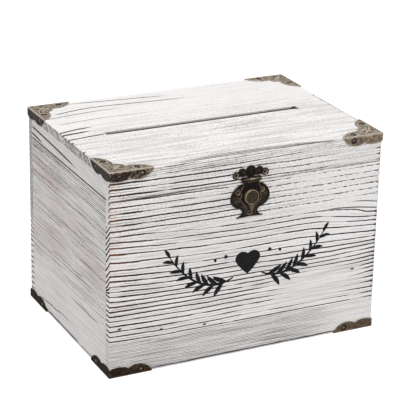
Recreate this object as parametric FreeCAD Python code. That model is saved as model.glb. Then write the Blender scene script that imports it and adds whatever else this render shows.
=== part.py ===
import FreeCAD, Part
import math
import os

from FreeCAD import Vector

# Card box: whitewashed boards, a hinged lid with a card slot, bronze corners, a hasp and two butt hinges.
# Millimetres. +Z is up, the front faces -Y, and Z 0 is the floor that the base corners stand on.

# Boards
BOX_WIDTH = 280.0
BOX_DEPTH = 200.0
BOX_HEIGHT = 200.0
LID_HEIGHT = 27.5
BOARD = 9.0
BASE_BOARD = 6.0
BASE_REBATE = 4.5
EDGE_EASE = 0.6
SLOT_LENGTH = 203.0
SLOT_WIDTH = 7.0
SLOT_CORNER = 1.0

# Headless brads inside the boards
BRAD_RADIUS = 0.6
BRAD_LENGTH = 18.0
BRAD_SUNK = 1.0
BRAD_FIT = 0.02
WALL_BRADS_PER_CORNER = 3
RAIL_BRADS_PER_CORNER = 2
LONG_EDGE_BRAD_IN = 95.2
SHORT_EDGE_BRAD_IN = 60.0

# Domed nails, each with its head sunk in a dimple of the sheet it holds
NAIL_RADIUS = 0.65
NAIL_LENGTH = 8.6
NAIL_TIP = 1.2
NAIL_TIP_RADIUS = 0.15
NAIL_FIT = 0.02
HEAD_RADIUS = 1.5
HEAD_RISE = 0.5
HEAD_SUNK = 0.6
DIMPLE_FLOOR = 1.7
DIMPLE_RIM = 2.3

# Corner brackets, measured from their own outer corner
CORNER_SHEET = 1.0
CORNER_LEG = 43.6
CORNER_TIP = 1.6
CORNER_ROUND = 0.8
FACE_NAIL_ALONG = 30.0
FACE_NAIL_IN = 6.8
SIDE_NAIL_ALONG = 32.3
SIDE_NAIL_IN = 4.1
FACE_LOBE_BULGE = (34.5, 11.5)
FACE_CUSP = (21.0, 13.2)
FACE_MIDDLE_BULGE = 18.8
SIDE_LOBE_BULGE = (33.0, 9.4)
SIDE_CUSP = (20.0, 7.4)
SIDE_INNER_BULGE = (10.0, 10.0)
SIDE_CORNER_DEPTH = 7.8

# Fits between moving pieces
MOVING_GAP = 0.3
PIN_FIT = 0.05

# How near two places count as one when edges are picked
SAME_PLACE = 1e-4

# Butt hinges on the back
HINGE_FROM_END = 58.8
LEAF_LENGTH = 32.0
LEAF_HEIGHT = 13.0
LEAF_SHEET = 1.0
LEAF_CORNER = 2.5
LEAF_NAIL_IN = 5.44
LEAF_NAIL_UP = 8.2
BARREL_RADIUS = 2.1
HINGE_PIN_RADIUS = 1.0
HINGE_PIN_OVERHANG = 0.5
MIDDLE_KNUCKLE = 10.4

# Hasp, with heights measured up from the lid seam
HASP_SHEET = 1.0
HASP_BARREL_RADIUS = 2.2
HASP_BARREL_LENGTH = 19.2
HASP_MIDDLE_KNUCKLE = 6.6
HASP_PIN_RADIUS = 0.9
HASP_PIN_UP = 3.0
LID_PLATE_EAR = (14.9, 7.4, 3.8)
LID_PLATE_SIDE_LOBE = (8.8, 9.6, 4.2)
LID_PLATE_MIDDLE_LOBE = (0.0, 10.2, 5.4)
LID_PLATE_CORE = (12.0, 10.0)
LID_PLATE_RAISED = 0.6
LID_PLATE_RAISED_INSET = 1.2
BODY_PLATE_TOP_CORNER = (9.6, -2.0)
BODY_PLATE_FOOT_TIP = (13.4, -35.0)
BODY_PLATE_FOOT_BULGE = (6.5, -34.7)
BODY_PLATE_FOOT = -34.4
BODY_NAIL = (12.6, -9.5)
BODY_LOW_NAIL = (0.0, -30.7)
FLAP_BOTTOM = -23.4
FLAP_BOTTOM_CORNER = 3.0
FLAP_SHOULDER = 0.8
BUTTON_UP = -14.1
BUTTON_RADIUS = 7.2
BUTTON_BORE = 5.2
BUTTON_BORE_DEPTH = 1.6
BUTTON_PROUD = 4.0
BUTTON_RIM_WIDTH = 1.6
BUTTON_RIM_DROP = 1.1
BUTTON_RIM_ROUND = 0.9
BUTTON_GROOVE_DROP = 1.5
BUTTON_DOME_RADIUS = 4.6
TAB_THICK = 1.0
TAB_WIDE = 3.6
TAB_NARROW = 1.1
TAB_END = -28.0
PEG_RADIUS = 0.9
PEG_PROUD = 1.9
PEG_IN_WOOD = 5.0
PEG_DOME = 0.4
PEG_WAY = 1.5

# Right-hand edges of the hasp's body plate and flap going down, each step an arc's middle and its end
BODY_PLATE_SIDE = [
    ((17.0, -6.9), (20.5, -15.3)),
    ((18.2, -21.4), (12.0, -25.3)),
    ((9.3, -27.0), (7.8, -29.3)),
    ((9.6, -32.4), (14.0, -34.2)),
]
FLAP_SIDE = [
    ((8.6, -0.6), (8.4, -2.2)),
    ((9.2, -4.6), (10.6, -6.6)),
    ((10.9, -9.6), (9.7, -12.4)),
    ((11.0, -16.0), (8.8, -19.2)),
    ((6.9, -22.0), (FLAP_BOTTOM_CORNER, FLAP_BOTTOM)),
]

# Levels and planes that follow from the sizes above
HALF_WIDTH = BOX_WIDTH / 2
HALF_DEPTH = BOX_DEPTH / 2
WOOD_BOTTOM = CORNER_SHEET
WOOD_TOP = WOOD_BOTTOM + BOX_HEIGHT
SEAM = WOOD_TOP - LID_HEIGHT
RAIL_TOP = WOOD_TOP - BOARD
FLAP_BACK = HASP_SHEET + MOVING_GAP
FLAP_FRONT = FLAP_BACK + HASP_SHEET
HASP_PIN_OUT = HASP_BARREL_RADIUS + MOVING_GAP
HASP_PROUD = FLAP_FRONT + BUTTON_PROUD
HINGE_OUT = BARREL_RADIUS + MOVING_GAP
HINGE_PROUD = HINGE_OUT + BARREL_RADIUS
# the hasp stands further out than the hinges, so the boards sit back to keep the origin in the middle
MID_Y = (HASP_PROUD - HINGE_PROUD) / 2
FRONT = MID_Y - HALF_DEPTH
BACK = MID_Y + HALF_DEPTH
INNER_HALF_WIDTH = HALF_WIDTH - BOARD
INNER_FRONT = FRONT + BOARD
INNER_BACK = BACK - BOARD
HINGE_X = HALF_WIDTH - HINGE_FROM_END

# each corner's name and the way into the box from it along X and Y
CORNERS = [
    ("front_left", 1, 1),
    ("front_right", -1, 1),
    ("back_left", 1, -1),
    ("back_right", -1, -1),
]
BASE_WAY_IN = 1
LID_WAY_IN = -1
ACROSS = Vector(1, 0, 0)
INTO_FRONT = Vector(0, 1, 0)
INTO_BACK = Vector(0, -1, 0)
UP = Vector(0, 0, 1)
DOWN = Vector(0, 0, -1)
ORIGIN = Vector(0, 0, 0)


def block(x0, x1, y0, y1, z0, z1):
    return Part.makeBox(x1 - x0, y1 - y0, z1 - z0, Vector(x0, y0, z0))


def aimed(shape, point, direction):
    """A copy of shape, which is drawn from the origin along +Z, set at point along direction."""
    copy = shape.copy()
    copy.Placement = FreeCAD.Placement(point, FreeCAD.Rotation(UP, direction))
    return copy


def edges_along(start, steps, lay):
    """Edges from start through steps; a step of one point is a line, a step of two is an arc through the first."""
    edges = []
    here = start
    for step in steps:
        end = step[-1]
        if len(step) == 1:
            edges.append(Part.makeLine(lay(here), lay(end)))
        else:
            edges.append(Part.Arc(lay(here), lay(step[0]), lay(end)).toShape())
        here = end
    return edges


def face_of(edges):
    return Part.Face(Part.Wire(Part.__sortEdges__(edges)))


def on_floor(p):
    return Vector(p[0], p[1], 0)


def on_front(p):
    return Vector(p[0], 0, p[1])


def on_side(p):
    return Vector(0, p[0], p[1])


def sheet_of(edges, out_from, out_to):
    """A plate with an outline drawn on the front plane, between two distances out from that plane."""
    face = face_of(edges)
    face.translate(Vector(0, -out_from, 0))
    return face.extrude(Vector(0, out_from - out_to, 0))


def both_halves(right):
    return right + [edge.mirror(ORIGIN, ACROSS) for edge in right]


def disc(x, up, radius, out_from, out_to):
    return Part.makeCylinder(radius, out_to - out_from, Vector(x, -out_from, up), INTO_BACK)


def eased(board, planes):
    """Rounds the board's edges that lie on two of the given outer planes, each an axis number and a place."""

    def lies_on(edge, axis, place):
        bounds = edge.BoundBox
        low = (bounds.XMin, bounds.YMin, bounds.ZMin)[axis]
        high = (bounds.XMax, bounds.YMax, bounds.ZMax)[axis]
        return abs(low - place) < SAME_PLACE and abs(high - place) < SAME_PLACE

    picked = []
    for edge in board.Edges:
        if sum(lies_on(edge, axis, place) for axis, place in planes) == 2:
            picked.append(edge)
    return board.makeFillet(EDGE_EASE, picked)


def bored(board, holes):
    near = [hole for hole in holes if hole.BoundBox.intersect(board.BoundBox)]
    return board.cut(near) if near else board


# Fasteners


def nail():
    """A domed nail along +Z, with Z 0 at the face of the sheet that its head is sunk in."""
    ball = (HEAD_RADIUS**2 + HEAD_RISE**2) / (2 * HEAD_RISE)
    middle = Vector(0, 0, HEAD_SUNK + ball - HEAD_RISE)
    latitude = math.degrees(math.asin((ball - HEAD_RISE) / ball))
    dome = Part.makeSphere(ball, middle, DOWN, latitude, 90, 360)
    shank_end = NAIL_LENGTH - NAIL_TIP
    shank = Part.makeCylinder(NAIL_RADIUS, shank_end - HEAD_SUNK, Vector(0, 0, HEAD_SUNK))
    tip = Part.makeCone(NAIL_RADIUS, NAIL_TIP_RADIUS, NAIL_TIP, Vector(0, 0, shank_end))
    return dome.fuse([shank, tip]).removeSplitter()


def nail_hole():
    return Part.makeCylinder(NAIL_RADIUS + NAIL_FIT, NAIL_LENGTH)


def nail_seat():
    dimple = Part.makeCone(DIMPLE_RIM, DIMPLE_FLOOR, HEAD_SUNK)
    return dimple.fuse(nail_hole())


def nails_at(places):
    return Part.makeCompound([aimed(nail(), point, way) for point, way in places])


def holes_at(places):
    return [aimed(nail_hole(), point, way) for point, way in places]


def seats_at(places):
    return [aimed(nail_seat(), point, way) for point, way in places]


def brads_at(places):
    """Brads that start below the face at each place and run straight in."""
    brad = Part.makeCylinder(BRAD_RADIUS, BRAD_LENGTH, Vector(0, 0, BRAD_SUNK))
    return Part.makeCompound([aimed(brad, point, way) for point, way in places])


def brad_holes_at(places):
    hole = Part.makeCylinder(BRAD_RADIUS + BRAD_FIT, BRAD_LENGTH, Vector(0, 0, BRAD_SUNK))
    return [aimed(hole, point, way) for point, way in places]


def spread(low, high, count):
    step = (high - low) / (count + 1)
    return [low + step * (number + 1) for number in range(count)]


def corner_brads(low, high, count):
    """Brads from the front and back boards into the ends of the side boards."""
    places = []
    for side in (-1, 1):
        x = side * (HALF_WIDTH - BOARD / 2)
        for z in spread(low, high, count):
            places.append((Vector(x, FRONT, z), INTO_FRONT))
            places.append((Vector(x, BACK, z), INTO_BACK))
    return places


def base_brads():
    """Brads through the walls into the edge of the base board."""
    places = []
    z = WOOD_BOTTOM + BASE_BOARD / 2
    for side in (-1, 1):
        x = side * (HALF_WIDTH - LONG_EDGE_BRAD_IN)
        y = MID_Y + side * (HALF_DEPTH - SHORT_EDGE_BRAD_IN)
        places.append((Vector(x, FRONT, z), INTO_FRONT))
        places.append((Vector(x, BACK, z), INTO_BACK))
        places.append((Vector(-HALF_WIDTH, y, z), ACROSS))
        places.append((Vector(HALF_WIDTH, y, z), -ACROSS))
    return places


def lid_top_brads():
    """Brads down through the top board into the lid rails."""
    places = []
    for side in (-1, 1):
        x = side * (HALF_WIDTH - LONG_EDGE_BRAD_IN)
        y = MID_Y + side * (HALF_DEPTH - SHORT_EDGE_BRAD_IN)
        places.append((Vector(x, FRONT + BOARD / 2, WOOD_TOP), DOWN))
        places.append((Vector(x, BACK - BOARD / 2, WOOD_TOP), DOWN))
        places.append((Vector(-HALF_WIDTH + BOARD / 2, y, WOOD_TOP), DOWN))
        places.append((Vector(HALF_WIDTH - BOARD / 2, y, WOOD_TOP), DOWN))
    return places


# Corner brackets


def corner_point(way_x, way_y, way_z):
    x = -way_x * (HALF_WIDTH + CORNER_SHEET)
    y = MID_Y - way_y * (HALF_DEPTH + CORNER_SHEET)
    z = 0 if way_z == BASE_WAY_IN else WOOD_TOP + CORNER_SHEET
    return Vector(x, y, z)


def corner_nails(way_x, way_y, way_z):
    """Two nails through the large face and one through each side flange, as places and ways in."""
    start = corner_point(way_x, way_y, way_z)
    local = [
        ((FACE_NAIL_ALONG, FACE_NAIL_IN, 0), (0, 0, 1)),
        ((FACE_NAIL_IN, FACE_NAIL_ALONG, 0), (0, 0, 1)),
        ((SIDE_NAIL_ALONG, 0, SIDE_NAIL_IN), (0, 1, 0)),
        ((0, SIDE_NAIL_ALONG, SIDE_NAIL_IN), (1, 0, 0)),
    ]
    places = []
    for point, way in local:
        inward = Vector(point[0] * way_x, point[1] * way_y, point[2] * way_z)
        places.append((start + inward, Vector(way[0] * way_x, way[1] * way_y, way[2] * way_z)))
    return places


def large_face():
    """The scalloped face that covers the corner of the top or the underside."""
    leg, tip = CORNER_LEG, CORNER_TIP
    bulge, cusp, middle = FACE_LOBE_BULGE, FACE_CUSP, FACE_MIDDLE_BULGE
    steps = [
        ((leg, 0),),
        ((leg, tip),),
        (bulge, cusp),
        ((middle, middle), cusp[::-1]),
        (bulge[::-1], (tip, leg)),
        ((0, leg),),
        ((0, 0),),
    ]
    return face_of(edges_along((0, 0), steps, on_floor)).extrude(UP * CORNER_SHEET)


def side_flange(lay, way):
    leg, tip, low = CORNER_LEG, CORNER_TIP, (0, SIDE_CORNER_DEPTH)
    steps = [
        ((leg, 0),),
        ((leg, tip),),
        (SIDE_LOBE_BULGE, SIDE_CUSP),
        (SIDE_INNER_BULGE, low),
        ((0, 0),),
    ]
    return face_of(edges_along((0, 0), steps, lay)).extrude(way * CORNER_SHEET)


def corner_bracket():
    """One bracket with its outer corner at the origin and the wood on the positive side of all three axes."""
    flanges = large_face().fuse([side_flange(on_front, INTO_FRONT), side_flange(on_side, ACROSS)])
    hull = block(0, CORNER_LEG, 0, CORNER_LEG, 0, CORNER_LEG)
    folds = []
    for edge in hull.Edges:
        if min(ORIGIN.distanceToPoint(vertex.Point) for vertex in edge.Vertexes) < SAME_PLACE:
            folds.append(edge)
    return flanges.removeSplitter().common(hull.makeFillet(CORNER_ROUND, folds))


def placed_bracket(way_x, way_y, way_z):
    bracket = corner_bracket()
    for way, axis in ((way_x, ACROSS), (way_y, INTO_FRONT), (way_z, UP)):
        if way < 0:
            bracket = bracket.mirror(ORIGIN, axis)
    bracket.translate(corner_point(way_x, way_y, way_z))
    return bracket.cut(seats_at(corner_nails(way_x, way_y, way_z)))


# Hasp, drawn with the wood's front face at Y 0 and the seam at Z 0


def barrel_piece(x0, x1, radius):
    return Part.makeCylinder(radius, x1 - x0, Vector(x0, -HASP_PIN_OUT, HASP_PIN_UP), ACROSS)


def hasp_lid_nails():
    x, up, _ = LID_PLATE_EAR
    return [(Vector(side * x, -HASP_SHEET, up), INTO_FRONT) for side in (-1, 1)]


def hasp_body_nails():
    x, up = BODY_NAIL
    spots = [(-x, up), (x, up), BODY_LOW_NAIL]
    return [(Vector(spot[0], -HASP_SHEET, spot[1]), INTO_FRONT) for spot in spots]


def hasp_lid_plate():
    """Scalloped plate with a raised middle and the barrel's middle knuckle."""
    half = HASP_MIDDLE_KNUCKLE / 2
    low = HASP_PIN_UP + HASP_BARREL_RADIUS + 2 * MOVING_GAP
    core_half, core_top = LID_PLATE_CORE
    pieces = [block(-half, half, -HASP_SHEET, 0, HASP_PIN_UP, core_top)]
    pieces.append(barrel_piece(-half, half, HASP_BARREL_RADIUS))
    lobes = [LID_PLATE_MIDDLE_LOBE]
    for side in (-1, 1):
        x, up, radius = LID_PLATE_SIDE_LOBE
        lobes.append((side * x, up, radius))
        ear_x, ear_up, ear_radius = LID_PLATE_EAR
        pieces.append(disc(side * ear_x, ear_up, ear_radius, 0, HASP_SHEET))
    for x, up, radius in lobes:
        pieces.append(disc(x, up, radius, 0, HASP_SHEET))
        raised = radius - LID_PLATE_RAISED_INSET
        pieces.append(disc(x, up, raised, HASP_SHEET, HASP_SHEET + LID_PLATE_RAISED))
    core = block(-core_half, core_half, -HASP_SHEET, 0, low, core_top)
    plate = core.fuse(pieces)
    under = block(-HALF_WIDTH, -half, -HASP_PROUD, 0, -LID_HEIGHT, low)
    side_room = barrel_piece(-HASP_BARREL_LENGTH, HASP_BARREL_LENGTH, HASP_BARREL_RADIUS + MOVING_GAP)
    plate = plate.cut(side_room.common(under.fuse(under.mirror(ORIGIN, ACROSS))))
    pin_hole = barrel_piece(-half, half, HASP_PIN_RADIUS + PIN_FIT)
    return plate.removeSplitter().cut([pin_hole] + seats_at(hasp_lid_nails()))


def hasp_body_plate():
    """Vase-shaped plate below the seam, with the hole that the catch peg passes through."""
    steps = [(BODY_PLATE_TOP_CORNER,)] + BODY_PLATE_SIDE
    steps += [(BODY_PLATE_FOOT_TIP,), (BODY_PLATE_FOOT_BULGE, (0, BODY_PLATE_FOOT))]
    right = edges_along((0, BODY_PLATE_TOP_CORNER[1]), steps, on_front)
    plate = sheet_of(both_halves(right), 0, HASP_SHEET)
    peg_hole = disc(0, BUTTON_UP, PEG_RADIUS + NAIL_FIT, 0, HASP_SHEET)
    return plate.cut([peg_hole] + seats_at(hasp_body_nails()))


def hasp_catch_peg():
    """Peg driven through the body plate into the front board; the hollow button closes over its end."""
    length = PEG_IN_WOOD + HASP_SHEET + PEG_PROUD
    peg = Part.makeCylinder(PEG_RADIUS, length, Vector(0, PEG_IN_WOOD, BUTTON_UP), INTO_BACK)
    end_y = -HASP_SHEET - PEG_PROUD
    end = [edge for edge in peg.Edges if edge.Closed and abs(edge.BoundBox.YMin - end_y) < SAME_PLACE]
    return peg.makeFillet(PEG_DOME, end)


def peg_hole_in_board():
    return disc(0, BUTTON_UP, PEG_RADIUS + NAIL_FIT, -PEG_IN_WOOD, 0)


def hasp_flap():
    """Hanging flap with the barrel's two outer knuckles, opened behind the button for the catch peg."""
    end = HASP_BARREL_LENGTH / 2
    start = HASP_MIDDLE_KNUCKLE / 2 + MOVING_GAP
    steps = [((end, HASP_PIN_UP),), ((end, FLAP_SHOULDER),)] + FLAP_SIDE + [((0, FLAP_BOTTOM),)]
    right = edges_along((0, HASP_PIN_UP), steps, on_front)
    flap = sheet_of(both_halves(right), FLAP_BACK, FLAP_FRONT)
    knuckles = [barrel_piece(start, end, HASP_BARREL_RADIUS), barrel_piece(-end, -start, HASP_BARREL_RADIUS)]
    flap = flap.fuse(knuckles).removeSplitter()
    notch_low = HASP_PIN_UP - HASP_BARREL_RADIUS - MOVING_GAP
    notch_top = HASP_PIN_UP + HASP_BARREL_RADIUS
    notch = block(-start, start, -HASP_PROUD, 0, notch_low, notch_top)
    pin_hole = barrel_piece(-end, end, HASP_PIN_RADIUS + PIN_FIT)
    bore = disc(0, BUTTON_UP, BUTTON_BORE, FLAP_BACK, FLAP_FRONT)
    way = block(-PEG_WAY, PEG_WAY, -FLAP_FRONT, -FLAP_BACK, FLAP_BOTTOM, BUTTON_UP)
    return flap.cut([notch, pin_hole, bore, way])


def hasp_button():
    """Round hollow button with a stepped rim and a finger tab that stands clear of the peg."""
    back, top = FLAP_FRONT, HASP_PROUD
    rim, bore, roof = BUTTON_RADIUS, BUTTON_BORE, FLAP_FRONT + BUTTON_BORE_DEPTH
    rim_top, groove = top - BUTTON_RIM_DROP, top - BUTTON_GROOVE_DROP
    rim_in = rim - BUTTON_RIM_WIDTH
    corner = BUTTON_RIM_ROUND * (1 - math.sqrt(0.5))
    ball = (BUTTON_DOME_RADIUS**2 + BUTTON_GROOVE_DROP**2) / (2 * BUTTON_GROOVE_DROP)
    half_dome = BUTTON_DOME_RADIUS / 2
    dome_middle = (half_dome, top - ball + math.sqrt(ball**2 - half_dome**2))

    def turned(p):
        return Vector(p[0], -p[1], 0)

    steps = [
        ((rim, back),),
        ((rim, rim_top - BUTTON_RIM_ROUND),),
        ((rim - corner, rim_top - corner), (rim - BUTTON_RIM_ROUND, rim_top)),
        ((rim_in, rim_top),),
        ((rim_in - BUTTON_GROOVE_DROP + BUTTON_RIM_DROP, groove),),
        ((BUTTON_DOME_RADIUS, groove),),
        (dome_middle, (0, top)),
        ((0, roof),),
        ((bore, roof),),
        ((bore, back),),
    ]
    profile = edges_along((bore, back), steps, turned)
    button = face_of(profile).revolve(ORIGIN, INTO_FRONT, 360)
    button.translate(Vector(0, 0, BUTTON_UP))
    tab_back = FLAP_BACK + PEG_PROUD + MOVING_GAP
    tab_top = BUTTON_UP - (BUTTON_RADIUS + BUTTON_BORE) / 2
    right = edges_along(
        (0, tab_top),
        [
            ((TAB_WIDE, tab_top),),
            ((TAB_NARROW, TAB_END + TAB_NARROW),),
            ((TAB_NARROW * 0.7, TAB_END + TAB_NARROW * 0.3), (0, TAB_END)),
        ],
        on_front,
    )
    tab = sheet_of(both_halves(right), tab_back, tab_back + TAB_THICK)
    way = block(-PEG_WAY, PEG_WAY, -tab_back, -back, TAB_END, BUTTON_UP)
    return button.cut(way).fuse(tab).removeSplitter()


def hasp_pin():
    return barrel_piece(-HASP_BARREL_LENGTH / 2, HASP_BARREL_LENGTH / 2, HASP_PIN_RADIUS)


def set_on_front(shape):
    shape.translate(Vector(0, FRONT, SEAM))
    return shape


def moved_places(places, offset):
    return [(point + offset, way) for point, way in places]


# Butt hinges, drawn with the wood's back face at Y 0, the seam at Z 0 and the middle of the hinge at X 0


def hinge_rod(x0, x1, radius):
    return Part.makeCylinder(radius, x1 - x0, Vector(x0, HINGE_OUT, 0), ACROSS)


def leaf_nails(way_up):
    x = LEAF_LENGTH / 2 - LEAF_NAIL_IN
    return [(Vector(side * x, LEAF_SHEET, way_up * LEAF_NAIL_UP), INTO_BACK) for side in (-1, 1)]


def hinge_leaf(way_up, knuckles):
    """A leaf above (1) or below (-1) the seam that keeps the given knuckles and clears the other leaf's."""
    half = LEAF_LENGTH / 2
    plate = block(-half, half, 0, LEAF_SHEET, 0, LEAF_HEIGHT)
    far = []
    for edge in plate.Edges:
        bounds = edge.BoundBox
        if bounds.ZMin > LEAF_HEIGHT - SAME_PLACE and bounds.YLength > LEAF_SHEET / 2:
            far.append(edge)
    plate = plate.makeFillet(LEAF_CORNER, far)
    room = block(-half, half, -LEAF_SHEET, LEAF_SHEET, 0, BARREL_RADIUS + MOVING_GAP)
    for x0, x1 in knuckles:
        room = room.cut(block(x0, x1, -LEAF_SHEET, LEAF_SHEET, 0, LEAF_HEIGHT))
    plate = plate.cut(room)
    if way_up < 0:
        plate = plate.mirror(ORIGIN, UP)
    leaf = plate.fuse([hinge_rod(x0, x1, BARREL_RADIUS) for x0, x1 in knuckles])
    pin_hole = hinge_rod(-half, half, HINGE_PIN_RADIUS + PIN_FIT)
    return leaf.removeSplitter().cut([pin_hole] + seats_at(leaf_nails(way_up)))


def hinge_pieces():
    """The box leaf with two outer knuckles, the lid leaf with the middle one, and the pin."""
    half, middle = LEAF_LENGTH / 2, MIDDLE_KNUCKLE / 2
    outer = middle + MOVING_GAP
    body_leaf = hinge_leaf(-1, [(-half, -outer), (outer, half)])
    lid_leaf = hinge_leaf(1, [(-middle, middle)])
    pin = hinge_rod(-half - HINGE_PIN_OVERHANG, half + HINGE_PIN_OVERHANG, HINGE_PIN_RADIUS)
    return body_leaf, lid_leaf, pin


# Boards


def wall_planes(x_planes, y_planes):
    planes = [(0, x) for x in x_planes] + [(1, y) for y in y_planes]
    return planes + [(2, WOOD_BOTTOM), (2, SEAM)]


def base_panel():
    half = INNER_HALF_WIDTH + BASE_REBATE
    y0 = INNER_FRONT - BASE_REBATE
    y1 = INNER_BACK + BASE_REBATE
    return block(-half, half, y0, y1, WOOD_BOTTOM, WOOD_BOTTOM + BASE_BOARD)


def upright_boards(low, high):
    """Front, back, left and right boards between two levels; front and back run over the ends of the sides."""
    ends = [-HALF_WIDTH, HALF_WIDTH]
    boards = {
        "front": (block(-HALF_WIDTH, HALF_WIDTH, FRONT, INNER_FRONT, low, high), ends, [FRONT]),
        "back": (block(-HALF_WIDTH, HALF_WIDTH, INNER_BACK, BACK, low, high), ends, [BACK]),
        "left": (block(-HALF_WIDTH, -INNER_HALF_WIDTH, INNER_FRONT, INNER_BACK, low, high), ends[:1], []),
        "right": (block(INNER_HALF_WIDTH, HALF_WIDTH, INNER_FRONT, INNER_BACK, low, high), ends[1:], []),
    }
    eased_boards = {}
    for name, (board, x_planes, y_planes) in boards.items():
        eased_boards[name] = eased(board, wall_planes(x_planes, y_planes))
    return eased_boards


def lid_top_panel():
    board = block(-HALF_WIDTH, HALF_WIDTH, FRONT, BACK, RAIL_TOP, WOOD_TOP)
    planes = [(0, -HALF_WIDTH), (0, HALF_WIDTH), (1, FRONT), (1, BACK), (2, WOOD_TOP)]
    half_slot = SLOT_WIDTH / 2
    slot = block(-SLOT_LENGTH / 2, SLOT_LENGTH / 2, MID_Y - half_slot, MID_Y + half_slot, RAIL_TOP, WOOD_TOP)
    upright = [edge for edge in slot.Edges if edge.BoundBox.ZLength > BOARD / 2]
    return eased(board, planes).cut(slot.makeFillet(SLOT_CORNER, upright))


# The assembly


def box_nodes(hinges):
    nodes = {}
    nails = []
    for name, way_x, way_y in CORNERS:
        nodes["base_corner_" + name] = placed_bracket(way_x, way_y, BASE_WAY_IN)
        nails += corner_nails(way_x, way_y, BASE_WAY_IN)
    nodes["base_corner_nails"] = nails_at(nails)
    on_box_front = Vector(0, FRONT, SEAM)
    hasp_nails = moved_places(hasp_body_nails(), on_box_front)
    nodes["hasp_body_plate"] = set_on_front(hasp_body_plate())
    nodes["hasp_catch_peg"] = set_on_front(hasp_catch_peg())
    nodes["hasp_body_nails"] = nails_at(hasp_nails)
    leaf_places = []
    for name, x in (("left", -HINGE_X), ("right", HINGE_X)):
        offset = Vector(x, BACK, SEAM)
        nodes["hinge_" + name + "_body_leaf"] = hinges[0].translated(offset)
        nodes["hinge_" + name + "_pin"] = hinges[2].translated(offset)
        leaf_places += moved_places(leaf_nails(-1), offset)
    nodes["hinge_body_nails"] = nails_at(leaf_places)
    walls = corner_brads(WOOD_BOTTOM, SEAM, WALL_BRADS_PER_CORNER)
    nodes["wall_brads"] = brads_at(walls)
    nodes["base_brads"] = brads_at(base_brads())
    holes = holes_at(nails + hasp_nails + leaf_places) + brad_holes_at(walls + base_brads())
    holes.append(set_on_front(peg_hole_in_board()))
    base = base_panel()
    nodes["base_panel"] = bored(base, holes)
    for name, board in upright_boards(WOOD_BOTTOM, SEAM).items():
        nodes[name + "_panel"] = bored(board.cut(base), holes)
    return nodes


def lid_nodes(hinges):
    nodes = {}
    nails = []
    for name, way_x, way_y in CORNERS:
        nodes["lid_corner_" + name] = placed_bracket(way_x, way_y, LID_WAY_IN)
        nails += corner_nails(way_x, way_y, LID_WAY_IN)
    nodes["lid_corner_nails"] = nails_at(nails)
    hasp_nails = moved_places(hasp_lid_nails(), Vector(0, FRONT, SEAM))
    nodes["hasp_lid_plate"] = set_on_front(hasp_lid_plate())
    nodes["hasp_pin"] = set_on_front(hasp_pin())
    nodes["hasp_lid_nails"] = nails_at(hasp_nails)
    leaf_places = []
    for name, x in (("left", -HINGE_X), ("right", HINGE_X)):
        offset = Vector(x, BACK, SEAM)
        nodes["hinge_" + name + "_lid_leaf"] = hinges[1].translated(offset)
        leaf_places += moved_places(leaf_nails(1), offset)
    nodes["hinge_lid_nails"] = nails_at(leaf_places)
    rails = corner_brads(SEAM, RAIL_TOP, RAIL_BRADS_PER_CORNER)
    nodes["lid_rail_brads"] = brads_at(rails)
    nodes["lid_top_brads"] = brads_at(lid_top_brads())
    holes = holes_at(nails + hasp_nails + leaf_places) + brad_holes_at(rails + lid_top_brads())
    nodes["lid_top_panel"] = bored(lid_top_panel(), holes)
    for name, board in upright_boards(SEAM, RAIL_TOP).items():
        nodes["lid_" + name + "_rail"] = bored(board, holes)
    return nodes


def flap_nodes():
    return {"hasp_flap": set_on_front(hasp_flap()), "hasp_button": set_on_front(hasp_button())}


hinge_set = hinge_pieces()
os.makedirs("parts", exist_ok=True)
for group in (box_nodes(hinge_set), lid_nodes(hinge_set), flap_nodes()):
    for node, shape in group.items():
        shape.exportStep("parts/" + node + ".step")
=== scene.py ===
import math

import bpy
import numpy as np
from mathutils import Matrix, Vector, kdtree


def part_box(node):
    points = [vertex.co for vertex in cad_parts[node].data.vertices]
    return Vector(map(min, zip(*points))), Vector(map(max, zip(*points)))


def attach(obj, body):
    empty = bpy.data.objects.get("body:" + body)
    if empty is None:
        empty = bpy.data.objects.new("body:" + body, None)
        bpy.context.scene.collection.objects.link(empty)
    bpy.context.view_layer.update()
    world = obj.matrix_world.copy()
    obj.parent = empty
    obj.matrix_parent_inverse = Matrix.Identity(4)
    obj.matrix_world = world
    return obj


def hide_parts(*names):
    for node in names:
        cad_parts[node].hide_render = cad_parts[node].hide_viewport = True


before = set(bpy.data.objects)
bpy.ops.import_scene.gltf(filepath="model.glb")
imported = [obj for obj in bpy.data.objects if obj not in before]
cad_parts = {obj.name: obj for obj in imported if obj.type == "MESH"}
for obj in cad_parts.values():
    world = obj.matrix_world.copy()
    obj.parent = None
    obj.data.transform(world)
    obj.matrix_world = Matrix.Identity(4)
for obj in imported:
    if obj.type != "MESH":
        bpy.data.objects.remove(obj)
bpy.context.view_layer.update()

# A whitewashed card box with bronze corners and a hasp
# Sizes are in millimetres unless a name says otherwise
MM = 0.001
LONG, DEEP, UP = 0, 1, 2

# Camera, as worked out from the corners of the box
CAMERA_AT = (-696.003, -1387.437, 726.779)
CAMERA_YAW = 26.59172
CAMERA_PITCH = -21.38017
CAMERA_ROLL = 1.24698
FOCAL_PIXELS = 1708.611
IMAGE_PIXELS = 400
SENSOR = 36.0

# Light
AMBIENT = 0.5
FLOOR_GLOW = 0.42
FLOOR_HALF_METRES = 6.0
# name, way to the lamp, distance and size in metres, watts
LAMPS = (
    ("key", (-0.22, -0.44, 0.87), 2.5, 1.8, 44),
    ("side", (0.8, 0.5, 0.5), 3.0, 1.5, 14),
)

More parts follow.
